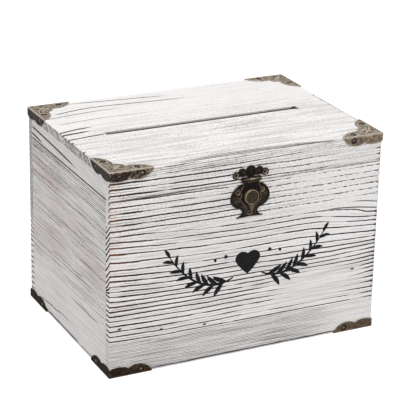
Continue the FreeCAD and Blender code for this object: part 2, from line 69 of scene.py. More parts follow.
# Boards
BOARD = 9.0
EASE = 0.7
ROW_STEP = 0.5
COLUMN_STEP = 3.0
EDGE_STOPS = (0.35, 1.0)
DEPTH_SHARES = (0.04, 0.11, 0.24, 0.37, 0.5, 0.63, 0.76, 0.89)
REBATE_DEPTH = 4.5
REBATE_HEIGHT = 6.0
INNER_COLUMNS = 6
INNER_ROWS = 10
GROOVE_DEPTH = 0.55
GROOVE_HALF = 0.9
CRACK_DEPTH = 1.2 * GROOVE_DEPTH
NUDGE = 0.2
SHARP_ANGLE = math.radians(50)

FRONT_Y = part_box("front_panel")[0].y / MM
BACK_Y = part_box("back_panel")[1].y / MM
LEFT_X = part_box("front_panel")[0].x / MM
RIGHT_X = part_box("front_panel")[1].x / MM
BOTTOM_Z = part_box("front_panel")[0].z / MM
SEAM_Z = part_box("front_panel")[1].z / MM
TOP_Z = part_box("lid_top_panel")[1].z / MM
MID_Y = (FRONT_Y + BACK_Y) / 2
SLOT_HALF_LENGTH = 101.5
SLOT_HALF_WIDTH = 3.5


# Small helpers


def smooth(start, end, value):
    """0 before start and 1 after end, with a soft change between them; start may be the larger."""
    share = np.clip((value - start) / (end - start), 0, 1)
    return share * share * (3 - 2 * share)


def mix(a, b, share):
    """a where share is 0 and b where it is 1."""
    return a * (1 - share) + b * share


def bell(value, middle, width):
    """1 at the middle, falling off softly on both sides."""
    return np.exp(-(((value - middle) / width) ** 2))


def band(value, middle, half):
    """1 in the middle of a band, falling off softly to 0 outside it."""
    return smooth(half * 1.5, half * 0.5, np.abs(value - middle))


def hill(a, b, middle, radius):
    """1 at the middle of an oval patch and 0 outside it."""
    away = ((a - middle[0]) / radius[0]) ** 2 + ((b - middle[1]) / radius[1]) ** 2
    return np.exp(-away * away)


def patch_noise(a, b, seed, size=64):
    """Soft random patches from 0 to 1, about one unit across."""
    table = np.random.default_rng(seed).random((size, size))
    i, j = np.floor(a).astype(int), np.floor(b).astype(int)
    s, t = smooth(0, 1, a - i), smooth(0, 1, b - j)
    low = mix(table[i % size, j % size], table[(i + 1) % size, j % size], s)
    high = mix(table[i % size, (j + 1) % size], table[(i + 1) % size, (j + 1) % size], s)
    return mix(low, high, t)


def line_noise(number, place, seed, rows=97, columns=64):
    """A random value from 0 to 1 for each grain line, changing softly along the line with place."""
    table = np.random.default_rng(seed).random((rows, columns))
    cell = np.floor(place).astype(int)
    row = number % rows
    return mix(table[row, cell % columns], table[row, (cell + 1) % columns], smooth(0, 1, place - cell))


def line_values(lines, along, length, seed, offset=30):
    """The nearest grain line's number, a random value of its own and one that changes along it."""
    number = np.round(lines).astype(int)
    return number, line_noise(number, 0 * along, seed), line_noise(number, along / length + offset, seed + 1)


def wander(along, across, seed, *layers):
    """Slow drift of grain lines: soft noises, each with a length along, a length across and an amount."""
    drift = 0
    for number, (length, width, amount) in enumerate(layers):
        drift = drift + amount * (patch_noise(along / length, across / width, seed + number) - 0.5)
    return drift


def bezier(points, count=16):
    """Points of a cubic curve with four control points."""
    t = np.linspace(0, 1, count)[:, None]
    a, b, c, d = (np.array(p, float) for p in points)
    curve = (1 - t) ** 3 * a + 3 * (1 - t) ** 2 * t * b + 3 * (1 - t) * t**2 * c + t**3 * d
    return [tuple(p) for p in curve]


def through(points):
    """A smooth curve through a few points, as short straight pieces."""
    spots = np.array(points, float)
    ways = np.gradient(spots, axis=0) / 3
    curve = []
    for k in range(len(spots) - 1):
        curve += bezier((spots[k], spots[k] + ways[k], spots[k + 1] - ways[k + 1], spots[k + 1]), 6)[:-1]
    return curve + [tuple(spots[-1])]


def spiral(centre, radius, angles, count=40):
    """Points of a spiral whose radius and angle, in degrees, run from the first to the second value."""
    turn = np.radians(np.linspace(*angles, count))
    reach = np.linspace(*radius, count)
    return [(centre[0] + r * math.cos(t), centre[1] + r * math.sin(t)) for r, t in zip(reach, turn)]


def distance_to_path(a, b, path):
    """Distance of points to a path of straight pieces, and the share of the path before the nearest place."""
    best = np.full(a.shape, np.inf)
    along = np.zeros(a.shape)
    for number in range(len(path) - 1):
        start, end = np.array(path[number]), np.array(path[number + 1])
        run = end - start
        share = np.clip(((a - start[0]) * run[0] + (b - start[1]) * run[1]) / (run @ run), 0, 1)
        gap = np.hypot(a - start[0] - share * run[0], b - start[1] - share * run[1])
        nearer = gap < best
        best = np.where(nearer, gap, best)
        along = np.where(nearer, (number + share) / (len(path) - 1), along)
    return best, along


def cracks(a, b, paths):
    """How far each point lies in a crack; a crack is a path, a half width and the fades at its ends."""
    deep = np.zeros(a.shape)
    for path, half, fade_start, fade_end in paths:
        gap, along = distance_to_path(a, b, through(path))
        ends = smooth(0, fade_start, along) * smooth(1, 1 - fade_end, along)
        deep = np.maximum(deep, smooth(half * 1.4, half * 0.3, gap) * ends)
    return deep


# Grain of each board: lines lie where the line number is whole, and even numbers are the main grooves

LOOK_NAMES = ("groove", "crack", "stain", "tint", "worn", "speck", "fibre", "pits", "seam", "strip", "thin")


def full_look(shape, **given):
    """One value for each point and look; a look that isn't given is 0."""
    return {name: given.get(name, 0) + np.zeros(shape) for name in LOOK_NAMES}


def grooved_face(x, lines, seed):
    """Strength of main and faint lines along a deeply brushed face."""
    number, own, run = line_values(lines, x, 17, seed, 40)
    main = (0.65 + 0.35 * own) * (0.4 + 0.6 * smooth(0.08, 0.42, run))
    faint = 0.2 * smooth(0.45, 0.8, run)
    return np.where(number % 2 == 0, main, faint)


def foot_shadow(along, z, high=2.7):
    """Painted shadow along the lower edge of a wall, dark where the gap under the box lies in shade."""
    uneven = 0.55 + 0.45 * smooth(0.3, 0.6, patch_noise(along / 9, z, 34))
    return uneven * smooth(BOTTOM_Z + high, BOTTOM_Z + high - 1.2, z)


def seam_line(depth, z):
    """The dirt along the joint between box and lid, on the outer skin only."""
    return smooth(0.85, 0.3, np.abs(z - SEAM_Z)) * smooth(1.2, 0.5, depth)


# Front board: evenly spaced lines, wider apart at one height, with a fine and worn foot
LEVELS = np.linspace(-60, 280, 3401)
LINE_SPACING = 5.0
UPPER_EXTRA = 0.7
WIDEST_EXTRA = 3.2
WIDEST_AT, WIDEST_HALF = 116, 9
FINE_BELOW = 38.0
FINE_SPACING = 3.0
UPPER_FROM = (125, 150)
FINE_FADE = 6
RING_LEAN = 1.1
LEAN_Z = (80, 90)
BEND_DROP, BEND_RUN = 8, 87.5
BEND_LEAST, BEND_EXTRA = 0.45, 0.6
STEEP_FROM, STEEP_UNTIL = (60, 84), (142, 132)
FORK_DROP, FORK_X, FORK_UNTIL, FORK_SKIN = 11, (60, 150), (140, 119), (4, 0)
FORK_FOOT, FORK_HEIGHT = 88, 36
HOOK_DROP, HOOK_X, HOOK_Z = 3, (112, 150), (66, 18)
# drifts are lengths along and across, and amounts
FRONT_DRIFT = ((45, 14, 1.1), (13, 6, 0.55))
# zones run from where a change starts to where it is complete
UPPER_RIGHT_X, UPPER_RIGHT_Z = (10, 60), (132, 146)
RAIL_LEFT_X, RAIL_RIGHT_X = (20, -40), (60, 105)
LOW_DASH_X, LOW_DASH_FROM, LOW_DASH_UNTIL = (119, 137), (36, 46), (100, 86)
HIGH_DASH_X, HIGH_DASH_Z = (133, 139), (128, 138)
NICK_TO_END, NICK_Z = (5, 1.5), (34, 42)
DARK_LEFT_END, DARK_RIGHT_END = (60, 0), (24, 0)
STRIP_Z, STRIP_DEPTH = (152, 142), (4.0, 2.0)
PLAIN_CORNER_X = (60, 115)
CLEAN_X, CLEAN_Z = (20, 100), (70, 95)
RUST_TO_END, RUST_Z = (26, 0), (80, 110)
ROSY_TO_END, ROSY_DEPTH, ROSY_Z = (1.6, 0.3), (1.4, 0.2), (95, 115)
SPECK_X, SPECK_Z = (-10, 40), (124, 140)
PITS_Z = (128, 142)
KNOT_EDGE = (1.3, 0.6)
OPEN_SEAM_X = (-40, -90)
CALM_PATCH = ((78, 56), (54, 20))
DARK_KNOTS = ((-88.2, 40.2), (-43.4, 36.9), (115.1, 65.6), (-130.0, 48.3))
FRONT_CRACKS = (
    (((76, 132.4), (97, 131.5), (118, 129.3), (141, 125.5)), 0.55, 0.3, 0.01),
    (((104, 136.6), (122, 135.2), (141, 131.8)), 0.4, 0.5, 0.01),
)


def front_count():
    """How many lines lie below each level of the front board."""
    spacing = LINE_SPACING + UPPER_EXTRA * smooth(*UPPER_FROM, LEVELS)
    spacing = spacing + WIDEST_EXTRA * bell(LEVELS, WIDEST_AT, WIDEST_HALF)
    spacing = spacing + (FINE_SPACING - spacing) * smooth(FINE_BELOW, FINE_BELOW - FINE_FADE, LEVELS)
    return np.cumsum(2 / spacing) * (LEVELS[1] - LEVELS[0])


FRONT_COUNT = front_count()
FINE_FROM = np.interp(FINE_BELOW, LEVELS, FRONT_COUNT)


def front_lines(p):
    """Line numbers of the front board, from the height at its left end of the line through each point."""
    x, depth, z = p[:, 0], p[:, 1] - FRONT_Y, p[:, 2]
    level = z + RING_LEAN * smooth(*LEAN_Z, z) * depth
    slope = BEND_LEAST + BEND_EXTRA * smooth(*STEEP_FROM, level) * smooth(*STEEP_UNTIL, level)
    bend = BEND_DROP * slope * (1 - np.exp(-np.maximum(x - LEFT_X, 0) / BEND_RUN))
    fork = FORK_DROP * smooth(*FORK_X, x) * smooth(*FORK_UNTIL, z) * smooth(*FORK_SKIN, depth)
    fork = fork * np.clip((z - FORK_FOOT) / FORK_HEIGHT, 0, 1)
    hooks = HOOK_DROP * smooth(*HOOK_X, x) * bell(z, *HOOK_Z)
    level = level + fork + bend - hooks + wander(x, z, 11, *FRONT_DRIFT)
    return np.interp(level, LEVELS, FRONT_COUNT)


def front_groove(x, depth, z, lines, on_rail, at_end, fine, plain_corner):
    """Strength of the front's lines: calm in one patch, dashed at the right end and fine at the foot."""
    number = np.round(lines).astype(int)
    main = number % 2 == 0
    calm = 1 - 0.93 * hill(x, z, *CALM_PATCH)
    upper_right = 1 - 0.25 * smooth(*UPPER_RIGHT_X, x) * smooth(*UPPER_RIGHT_Z, z)
    rail = 1 + on_rail * (0.15 * smooth(*RAIL_LEFT_X, x) - 0.75 * smooth(*RAIL_RIGHT_X, x))
    groove = grooved_face(x, lines, 21) * calm * upper_right * rail
    low_dashes = smooth(*LOW_DASH_FROM, z) * smooth(*LOW_DASH_UNTIL, z) * smooth(*LOW_DASH_X, x)
    high_dashes = smooth(*HIGH_DASH_Z, z) * smooth(*HIGH_DASH_X, x)
    groove = np.maximum(groove, 0.9 * np.maximum(low_dashes, high_dashes) * main)
    nicks = smooth(*NICK_TO_END, RIGHT_X - x) * main * smooth(*NICK_Z, z)
    groove = np.maximum(groove, nicks * (1.5 + 0.7 * line_noise(number, 0 * x, 25)))
    dark_ends = 0.5 * smooth(*DARK_LEFT_END, x - LEFT_X) + 0.35 * smooth(*DARK_RIGHT_END, RIGHT_X - x)
    on_strip = 1.35 * np.maximum(smooth(*STRIP_Z, z), smooth(*STRIP_DEPTH, depth))
    groove = mix(groove * (1 + dark_ends), on_strip, at_end)
    fine_groove = (0.1 + 0.28 * line_noise(number, x / 26 + 30, 24)) * (1 - 0.5 * plain_corner)
    return mix(groove, fine_groove, fine)


def front_crack_and_shade(x, z, seam):
    """Cracks, dark knots, the painted shadow at the foot and the open left end of the seam."""
    crack = cracks(x, z, FRONT_CRACKS)
    for knot in DARK_KNOTS:
        crack = np.maximum(crack, smooth(*KNOT_EDGE, np.hypot(x - knot[0], z - knot[1])))
    return np.maximum.reduce([crack, foot_shadow(x, z), 0.8 * seam * smooth(*OPEN_SEAM_X, x)])


def front_look(p, lines):
    x, depth, z = p[:, 0], p[:, 1] - FRONT_Y, p[:, 2]
    on_rail = smooth(SEAM_Z - 1, SEAM_Z + 1, z)
    at_end = smooth(0.0, 0.4, depth) * smooth(1.5, 0.3, np.minimum(x - LEFT_X, RIGHT_X - x))
    fine = smooth(FINE_FROM - 0.4, FINE_FROM - 1.6, lines)
    plain_corner = smooth(*PLAIN_CORNER_X, x)
    streaked = fine * (1 - 0.85 * plain_corner)
    clean = smooth(*CLEAN_X, x) * smooth(*CLEAN_Z, z) * (1 - on_rail)
    seam = seam_line(depth, z)
    rust = smooth(*RUST_TO_END, x - LEFT_X) * (0.3 + 0.7 * patch_noise(x / 9, z / 11, 31))
    rust = rust * (0.45 + 0.55 * smooth(*RUST_Z, z)) * (1 - 0.9 * at_end)
    return full_look(
        x.shape,
        groove=front_groove(x, depth, z, lines, on_rail, at_end, fine, plain_corner),
        crack=front_crack_and_shade(x, z, seam),
        stain=np.maximum(rust, 0.25 * smooth(RIGHT_X - 6, RIGHT_X, x) * (1 - at_end)),
        tint=0.6 * smooth(*ROSY_TO_END, x - LEFT_X) * smooth(*ROSY_DEPTH, depth) * smooth(*ROSY_Z, z),
        worn=np.maximum(0.8 * streaked, 0.5 * (1 - clean) * patch_noise(x / 60, z / 16, 32) ** 2),
        speck=0.85 * smooth(*SPECK_X, x) * smooth(*SPECK_Z, z) * (1 - 0.5 * on_rail),
        fibre=0.55 - 0.35 * clean + 0.75 * streaked,
        pits=0.3 + 0.7 * smooth(*PITS_Z, z) * (1 - 0.6 * clean) + 0.4 * streaked,
        seam=seam,
        strip=at_end,
        thin=1 - 0.85 * np.maximum(clean, fine * plain_corner),
    )


# Back board: like the front, a little finer
BACK_SPACING = 2.9
BACK_LEAN, BACK_LEAN_Z = 1.6, (60, 110)
BACK_SLOPE = 0.035
BACK_RISE, BACK_RISE_UNTIL = 5, (120, 60)
BACK_DRIFT = ((50, 15, 1.6), (14, 6, 0.5))
BACK_CALM = ((-40, 45), (70, 26))
BACK_END_DEPTH, BACK_TO_END = (0.3, 1.2), (2.5, 0.5)
BACK_RUST_TO_END = (16, 0)
BACK_SPECK_X, BACK_SPECK_Z = (0, 60), (110, 130)


def back_lines(p):
    x, depth, z = p[:, 0], BACK_Y - p[:, 1], p[:, 2]
    level = z + BACK_LEAN * smooth(*BACK_LEAN_Z, z) * depth + BACK_SLOPE * x
    level = level + BACK_RISE * smooth(LEFT_X, RIGHT_X, x) * smooth(*BACK_RISE_UNTIL, z)
    return (level + wander(x, z, 41, *BACK_DRIFT)) / BACK_SPACING


def back_look(p, lines):
    x, depth, z = p[:, 0], BACK_Y - p[:, 1], p[:, 2]
    groove = grooved_face(x, lines, 43) * (1 - 0.85 * hill(x, z, *BACK_CALM))
    at_end = smooth(*BACK_END_DEPTH, depth) * smooth(*BACK_TO_END, RIGHT_X - np.abs(x))
    rust = smooth(*BACK_RUST_TO_END, x - LEFT_X) * patch_noise(x / 9, z / 11, 44)
    return full_look(
        x.shape,
        groove=mix(groove, 1.2, at_end),
        crack=0.9 * foot_shadow(x, z),
        stain=0.6 * rust * (1 - 0.9 * at_end),
        worn=0.6 * patch_noise(x / 60, z / 16, 45) ** 2,
        speck=0.8 * smooth(*BACK_SPECK_X, x) * smooth(*BACK_SPECK_Z, z),
        fibre=0.55,
        pits=0.35,
        seam=seam_line(depth, z),
        strip=at_end,
        thin=1,
    )


# Side boards: close lines. On the left they rise towards the front, and wavy cracks cross the smooth foot.
SIDE_SPACING = 2.0
SIDE_LEAN = 0.8
LEFT_BACK_Y, LEFT_RUN = 90, 175
LEFT_RISE, LEFT_RISE_UNTIL = 10, 170
WAVE_HIGH, WAVE_AT, WAVE_RUN = 14, 96, 13
WAVE_DIP, WAVE_DIP_AT, WAVE_DIP_HALF = 4, 55, 14
FOOT_RISE, FOOT_SHARE, FOOT_Z = 9, 0.9, (46, 30)
RAIL_SLOPE = 0.049
RIGHT_SLOPE, RIGHT_SLOPE_Z = 0.05, (150, 40)
LEFT_DRIFT = ((40, 12, 1.3), (12, 5, 0.4))
RIGHT_DRIFT = ((44, 13, 1.5), (12, 5, 0.5))
LEFT_CRACKS = (
    (((92, 184.6), (28, 182.2), (-40, 178.0)), 1.1, 0.02, 0.4),
    (((93, 178.2), (76, 177.0), (58, 175.6)), 1.2, 0.02, 0.6),
    (((93, 166.5), (40, 168.0), (5, 168.4)), 0.4, 0.05, 0.5),
    (((94, 9.9), (72, 10.4), (46, 13.0), (33, 13.0), (19, 15.2), (-18, 16.3), (-54, 18.9)), 0.6, 0.35, 0.5),
    (((10, 43.4), (-19, 43.2), (-32, 43.6), (-63, 44.2), (-89, 47.6)), 0.45, 0.3, 0.3),
)
# middle, radius and strength of the rosy patches
LEFT_PATCHES = (
    ((52, 146), (34, 16), 1),
    ((45, 84), (48, 18), 1),
    ((-62, 95), (26, 22), 1),
    ((0, 120), (60, 14), 0.7),
)
RIGHT_PATCH = ((20, 120), (60, 30))
LEFT_FOOT_HIGH, LEFT_FOOT_Y = 3.8, (-40, 0)
CALM_FOOT_Z, STRONG_Z = (42, 66), (130, 160)
LEFT_WORN_Z, LEFT_FIBRE_Z = (40, 70), (40, 60)


def left_shift(y, z):
    """How far a line of the left wall lies above its height at the back."""
    towards_front = (LEFT_BACK_Y - y) / LEFT_RUN
    rise = LEFT_RISE * np.clip(1 - z / LEFT_RISE_UNTIL, 0, 1) * towards_front
    wave = WAVE_HIGH * np.exp((y - WAVE_AT) / WAVE_RUN) - WAVE_DIP * bell(y, WAVE_DIP_AT, WAVE_DIP_HALF)
    return mix(rise, FOOT_SHARE * (wave + FOOT_RISE * towards_front), smooth(*FOOT_Z, z))


def left_lines(p):
    depth, y, z = p[:, 0] - LEFT_X, p[:, 1], p[:, 2]
    level = np.where(z > SEAM_Z, z + RAIL_SLOPE * (LEFT_BACK_Y - y), z - left_shift(y, z))
    return (level + wander(y, z, 51, *LEFT_DRIFT) + SIDE_LEAN * depth) / SIDE_SPACING


def left_look(p, lines):
    y, z = p[:, 1], p[:, 2]
    number, own, run = line_values(lines, y, 55, 53)
    groove = (0.18 + 0.35 * own**1.4) * smooth(0.0, 0.35, run) * np.where(z > SEAM_Z, 0.3, 1.0)
    patches = sum(strength * hill(y, z, middle, radius) for middle, radius, strength in LEFT_PATCHES)
    foot = (0.4 + 0.45 * smooth(*LEFT_FOOT_Y, y)) * foot_shadow(y, z, LEFT_FOOT_HIGH)
    seam = seam_line(p[:, 0] - LEFT_X, z)
    return full_look(
        y.shape,
        groove=groove * (0.3 + 0.7 * smooth(*CALM_FOOT_Z, z) + 0.15 * smooth(*STRONG_Z, z)),
        crack=np.maximum.reduce([cracks(y, z, LEFT_CRACKS), foot, 0.75 * seam]),
        tint=0.8 * np.clip(patches, 0, 1) * (0.3 + 0.7 * line_noise(number, y / 70 + 20, 55)),
        worn=0.35 + 0.4 * smooth(*LEFT_WORN_Z, z) * patch_noise(y / 50, z / 9, 56),
        speck=0.3,
        fibre=0.35 + 0.55 * smooth(*LEFT_FIBRE_Z, z) * smooth(SEAM_Z + 1, SEAM_Z - 1, z),
        pits=0.35,
        seam=seam,
        thin=1,
    )


def right_lines(p):
    depth, y, z = RIGHT_X - p[:, 0], p[:, 1], p[:, 2]
    level = z - RIGHT_SLOPE * y * smooth(*RIGHT_SLOPE_Z, z)
    return (level + wander(y, z, 61, *RIGHT_DRIFT) + SIDE_LEAN * depth) / SIDE_SPACING


def right_look(p, lines):
    y, z = p[:, 1], p[:, 2]
    _, own, run = line_values(lines, y, 20, 63)
    seam = seam_line(RIGHT_X - p[:, 0], z)
    return full_look(
        y.shape,
        groove=(0.1 + 0.5 * own**2) * smooth(0.2, 0.5, run),
        crack=np.maximum(0.7 * foot_shadow(y, z), 0.75 * seam),
        tint=0.4 * hill(y, z, *RIGHT_PATCH) * patch_noise(y / 30, z / 5, 65),
        worn=0.3 + 0.4 * patch_noise(y / 50, z / 9, 66),
        speck=0.5,
        fibre=0.9,
        pits=0.35,
        seam=seam,
        thin=1,
    )


# Top board: flat sawn, so its lines make nested arches that point to the right over the slot
ARCH_SPACING = 7.0
ARCH_RUN = 58.0
ARCH_PATCHES = (((36, -14), (34, 26)), ((52, 16), (36, 14)))
ARCH_MIDDLE_Y, ARCH_BLUNT, ARCH_LEAN = 1, 1.2, 0.12
END_HATCH, HATCH_LEAN, HATCH_BEND = 4.0, 0.26, 0.6
EDGE_LINES, EDGE_RUN = 2.0, 120
FIRST_LINE = 40
TOP_DRIFT = ((50, 16, 0.5), (12, 6, 0.12))
SKIN = 1.2
TOP_CRACKS = (
    (((-141, -3.4), (-121.5, -0.8), (-101.5, 1.2)), 1.4, 0.02, 0.02),
    (((-141, 10.5), (-121, 13.2), (-104, 14.4)), 1.8, 0.02, 0.6),
    (((-141, 17.8), (-120, 22.8), (-96, 25.0)), 1.5, 0.02, 0.5),
    (((-141, -39.0), (-136, -38.4)), 1.5, 0.02, 0.8),
    (((-141, -12.0), (-137, -11.4)), 1.3, 0.02, 0.8),
    (((-118, 97.5), (-29, 88.0), (20, 81.5)), 1.0, 0.25, 0.6),
    (((-129, 69.3), (-84, 77.7), (-20, 73.5), (46, 70.0)), 1.1, 0.1, 0.4),
    (((-138, 60.0), (-84, 66.0), (-24, 64.0)), 0.9, 0.05, 0.7),
    (((-138, 40.0), (-90, 45.0), (-40, 44.0), (10, 40.0)), 0.7, 0.1, 0.8),
    (((-96, -97.6), (-20, -96.6), (40, -97.4), (98, -98.6)), 0.95, 0.2, 0.12),
    (((-92, -95.0), (-30, -93.6), (30, -94.6), (96, -97.0)), 0.9, 0.3, 0.2),
    (((-88, -91.5), (-20, -90.0), (40, -92.4), (90, -95.6)), 0.7, 0.4, 0.3),
    (((-70, -87.0), (-10, -86.4), (50, -89.4)), 0.4, 0.5, 0.5),
    (((-90, -83.5), (-40, -82.0), (0, -83.0)), 0.4, 0.3, 0.6),
    (((-84, -77.0), (-40, -75.8), (-6, -77.0)), 0.35, 0.4, 0.6),
)
SOFT_ARC = ((0, -3.0), (8.5, -10.5), (11.5, -19), (11, -29))
SOFT_ARC_STARTS = range(-6, 52, 8)
SOFT_ARC_DEPTH = 0.34
HATCH_Y, FAINT_EDGE_X = (-80, -45), (-20, 90)
# where painted shade darkens the slot, deeper down and at its right end
SLOT_SHADE, SLOT_END = (0.2, 2.8), (3.2, 2.2)
# where painted shade runs along the right arris, stronger towards the front
EDGE_SHADE_Y, EDGE_SHADE_TO_EDGE = (40, 20), (1.6, 1.0)
WORN_END_Y, LIT_BACK_Y = (-90, -40), (-30, 60)
RIGHT_EDGE_BLOTS = ((28, 2.5), (11, 4))


def on_top_end(p):
    return (np.abs(p[:, 0]) > RIGHT_X - 0.2) & (p[:, 2] < TOP_Z - 0.6)


def on_top_edge(p):
    return (np.abs(p[:, 1] - MID_Y) > BACK_Y - MID_Y - 0.2) & (p[:, 2] < TOP_Z - 0.6)


def top_lines(p):
    x, y, depth = p[:, 0], p[:, 1], TOP_Z - p[:, 2]
    arch = np.sqrt(((y - ARCH_MIDDLE_Y) / ARCH_SPACING) ** 2 + ARCH_BLUNT)
    drift = wander(x, y, 71, *TOP_DRIFT)
    face = arch + x / ARCH_RUN + drift + ARCH_LEAN * depth + FIRST_LINE
    hatch = y / END_HATCH + HATCH_LEAN * depth + HATCH_BEND * patch_noise(y / 11, depth / 9, 73)
    edge = depth / EDGE_LINES + x / EDGE_RUN + drift + FIRST_LINE
    return np.where(on_top_end(p), hatch, np.where(on_top_edge(p), edge, face))


def top_groove(p, lines):
    x, y, z = p[:, 0], p[:, 1], p[:, 2]
    _, own, run = line_values(lines, x, 22, 74)
    arches = sum(hill(x, y, *patch) for patch in ARCH_PATCHES)
    face = 0.16 * smooth(0.35, 0.8, run) * (0.4 + own) + 0.42 * np.clip(arches, 0, 1) * (0.4 + 0.6 * own)
    hatch = (0.3 + 1.7 * own) * (0.5 + 0.5 * patch_noise(y / 8, z / 3, 76)) * smooth(*HATCH_Y, y)
    edge = (0.25 + 0.6 * own * smooth(0.1, 0.4, run)) * (1 - 0.5 * smooth(*FAINT_EDGE_X, x))
    return np.where(on_top_edge(p), edge, np.where(on_top_end(p), hatch, face))


def top_crack_and_shade(x, y, z, beside):
    """Cracks in the top, painted shade inside the slot and at its right end, and painted shade along the
    right edge.
    """
    arcs = [[(start + a, b) for a, b in SOFT_ARC] for start in SOFT_ARC_STARTS]
    soft = SOFT_ARC_DEPTH * cracks(x, y, [(arc, 0.9, 0.1, 0.6) for arc in arcs])
    # painted shade in the slot, darker with depth and towards its right end, and a dark spot of painted shade
    # at that end
    in_slot = beside * smooth(*SLOT_SHADE, TOP_Z - z)
    in_slot = in_slot * (0.75 + 0.25 * smooth(SLOT_HALF_LENGTH - 6, SLOT_HALF_LENGTH - 1, x))
    slot_end = smooth(*SLOT_END, np.hypot(x - SLOT_HALF_LENGTH + 0.5, (y - MID_Y) * 0.6))
    # painted shade along the rounded right arris, stronger towards the front, with dark notches in it
    blots = sum(bell(y, middle, width) for middle, width in RIGHT_EDGE_BLOTS)
    arris = 0.18 + 0.3 * smooth(*EDGE_SHADE_Y, y) * (0.5 + patch_noise(y / 9, 0 * y, 78)) + 0.5 * blots
    arris = arris * smooth(*EDGE_SHADE_TO_EDGE, RIGHT_X - x)
    on_skin = z > TOP_Z - SKIN
    face = np.maximum.reduce([cracks(x, y, TOP_CRACKS), soft, arris]) * on_skin
    return np.maximum.reduce([face, in_slot, slot_end])


def top_look(p, lines):
    x, y, z = p[:, 0], p[:, 1], p[:, 2]
    end, edge = on_top_end(p), on_top_edge(p)
    beside = (np.abs(x) < SLOT_HALF_LENGTH + 0.1) & (np.abs(y - MID_Y) < SLOT_HALF_WIDTH + 0.1)
    worn = 0.12 * patch_noise(x / 60, y / 14, 77) + 1.2 * end * smooth(*WORN_END_Y, y) + 0.25 * edge
    # painted light: the back of the top gets a whiter wash with fewer streaks, fibres and pits, as if more
    # light fell there
    back = smooth(*LIT_BACK_Y, y)
    return full_look(
        x.shape,
        groove=top_groove(p, lines),
        crack=top_crack_and_shade(x, y, z, beside),
        stain=0.2 * end,
        # the slot's walls are bare grey, partly unpainted wood and partly painted shade in the slot
        worn=worn + 0.5 * beside,
        speck=np.where(end, 0.1, 0.6 - 0.3 * edge),
        fibre=0.6 - 0.35 * back + 0.7 * end,
        pits=0.55 - 0.3 * back,
        thin=1 - 0.9 * back,
    )


# Meshes and pieces


def flip_inside_out(mesh):
    """Turns all faces over if the closed mesh has its inside out."""
    mesh.calc_loop_triangles()
    points, _ = mesh_arrays(mesh)
    corners = np.empty(len(mesh.loop_triangles) * 3, int)
    mesh.loop_triangles.foreach_get("vertices", corners)
    a, b, c = (points[corners.reshape(-1, 3)[:, k]] for k in range(3))
    if np.sum(a * np.cross(b, c)) < 0:
        mesh.flip_normals()


def mesh_arrays(mesh):
    """Points in millimetres and normals of a mesh."""
    points = np.empty(len(mesh.vertices) * 3)
    mesh.vertices.foreach_get("co", points)
    normals = np.empty(len(mesh.vertices) * 3)
    mesh.vertex_normals.foreach_get("vector", normals)
    return points.reshape(-1, 3) / MM, normals.reshape(-1, 3)


def closed_mesh(name, points, faces):
    """A smooth-shaded mesh from points in millimetres, with its faces turned outwards."""
    mesh = bpy.data.meshes.new(name)
    mesh.from_pydata((points * MM).tolist(), [], faces)
    flip_inside_out(mesh)
    mesh.shade_smooth()
    mesh.set_sharp_from_angle(angle=SHARP_ANGLE)
    return mesh


def store(mesh, values):
    """Keeps named values, one for each point, for the materials to read."""
    for name, numbers in values.items():
        mesh.attributes.new(name, "FLOAT", "POINT").data.foreach_set("value", np.asarray(numbers, np.float32))


def box_of(node):
    """Lowest and highest corner of a CAD node."""
    return [np.array(corner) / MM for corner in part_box(node)]


def add_object(name, data):
    """A new object in the scene."""
    thing = bpy.data.objects.new(name, data)
    bpy.context.scene.collection.objects.link(thing)
    return thing


def add_piece(name, mesh, body):
    """Puts a mesh into the scene as a piece that rides on a body."""
    piece = add_object(name, mesh)
    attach(piece, body)
    return piece


def loop_round(i0, i1, j0, j1):
    """Grid places round a rectangle, anticlockwise."""
    loop = [(i, j0) for i in range(i0, i1)] + [(i1, j) for j in range(j0, j1)]
    return loop + [(i, j1) for i in range(i1, i0, -1)] + [(i0, j) for j in range(j1, j0, -1)]


def cells(index, way=1, hole=None):
    """Quads between the places of a grid, less those in its hole; a way of -1 turns them over."""
    corners = [index[:-1, :-1], index[1:, :-1], index[1:, 1:], index[:-1, 1:]]
    quads = np.stack(corners[::way], -1)
    kept = np.ones(quads.shape[:2], bool)
    if hole:
        i0, i1, j0, j1 = hole
        kept[i0:i1, j0:j1] = False
    return quads[kept].tolist()


def wall(upper, lower, way=1):
    """Quads between two closed rows of points, one below the other."""
    return [[upper[k], upper[k - 1], lower[k - 1], lower[k]][::way] for k in range(len(upper))]


def stops(fixed, step):
    """Places along a board: even steps between the fixed places, and two close stops at each end."""
    places = [fixed[0], fixed[0] + EDGE_STOPS[0]]
    inner = [fixed[0] + EDGE_STOPS[1]] + list(fixed[1:-1]) + [fixed[-1] - EDGE_STOPS[1]]
    for start, end in zip(inner, inner[1:]):
        count = max(1, round((end - start) / step))
        places += list(np.linspace(start, end, count + 1)[:-1])
    return np.array(places + [inner[-1], fixed[-1] - EDGE_STOPS[0], fixed[-1]])


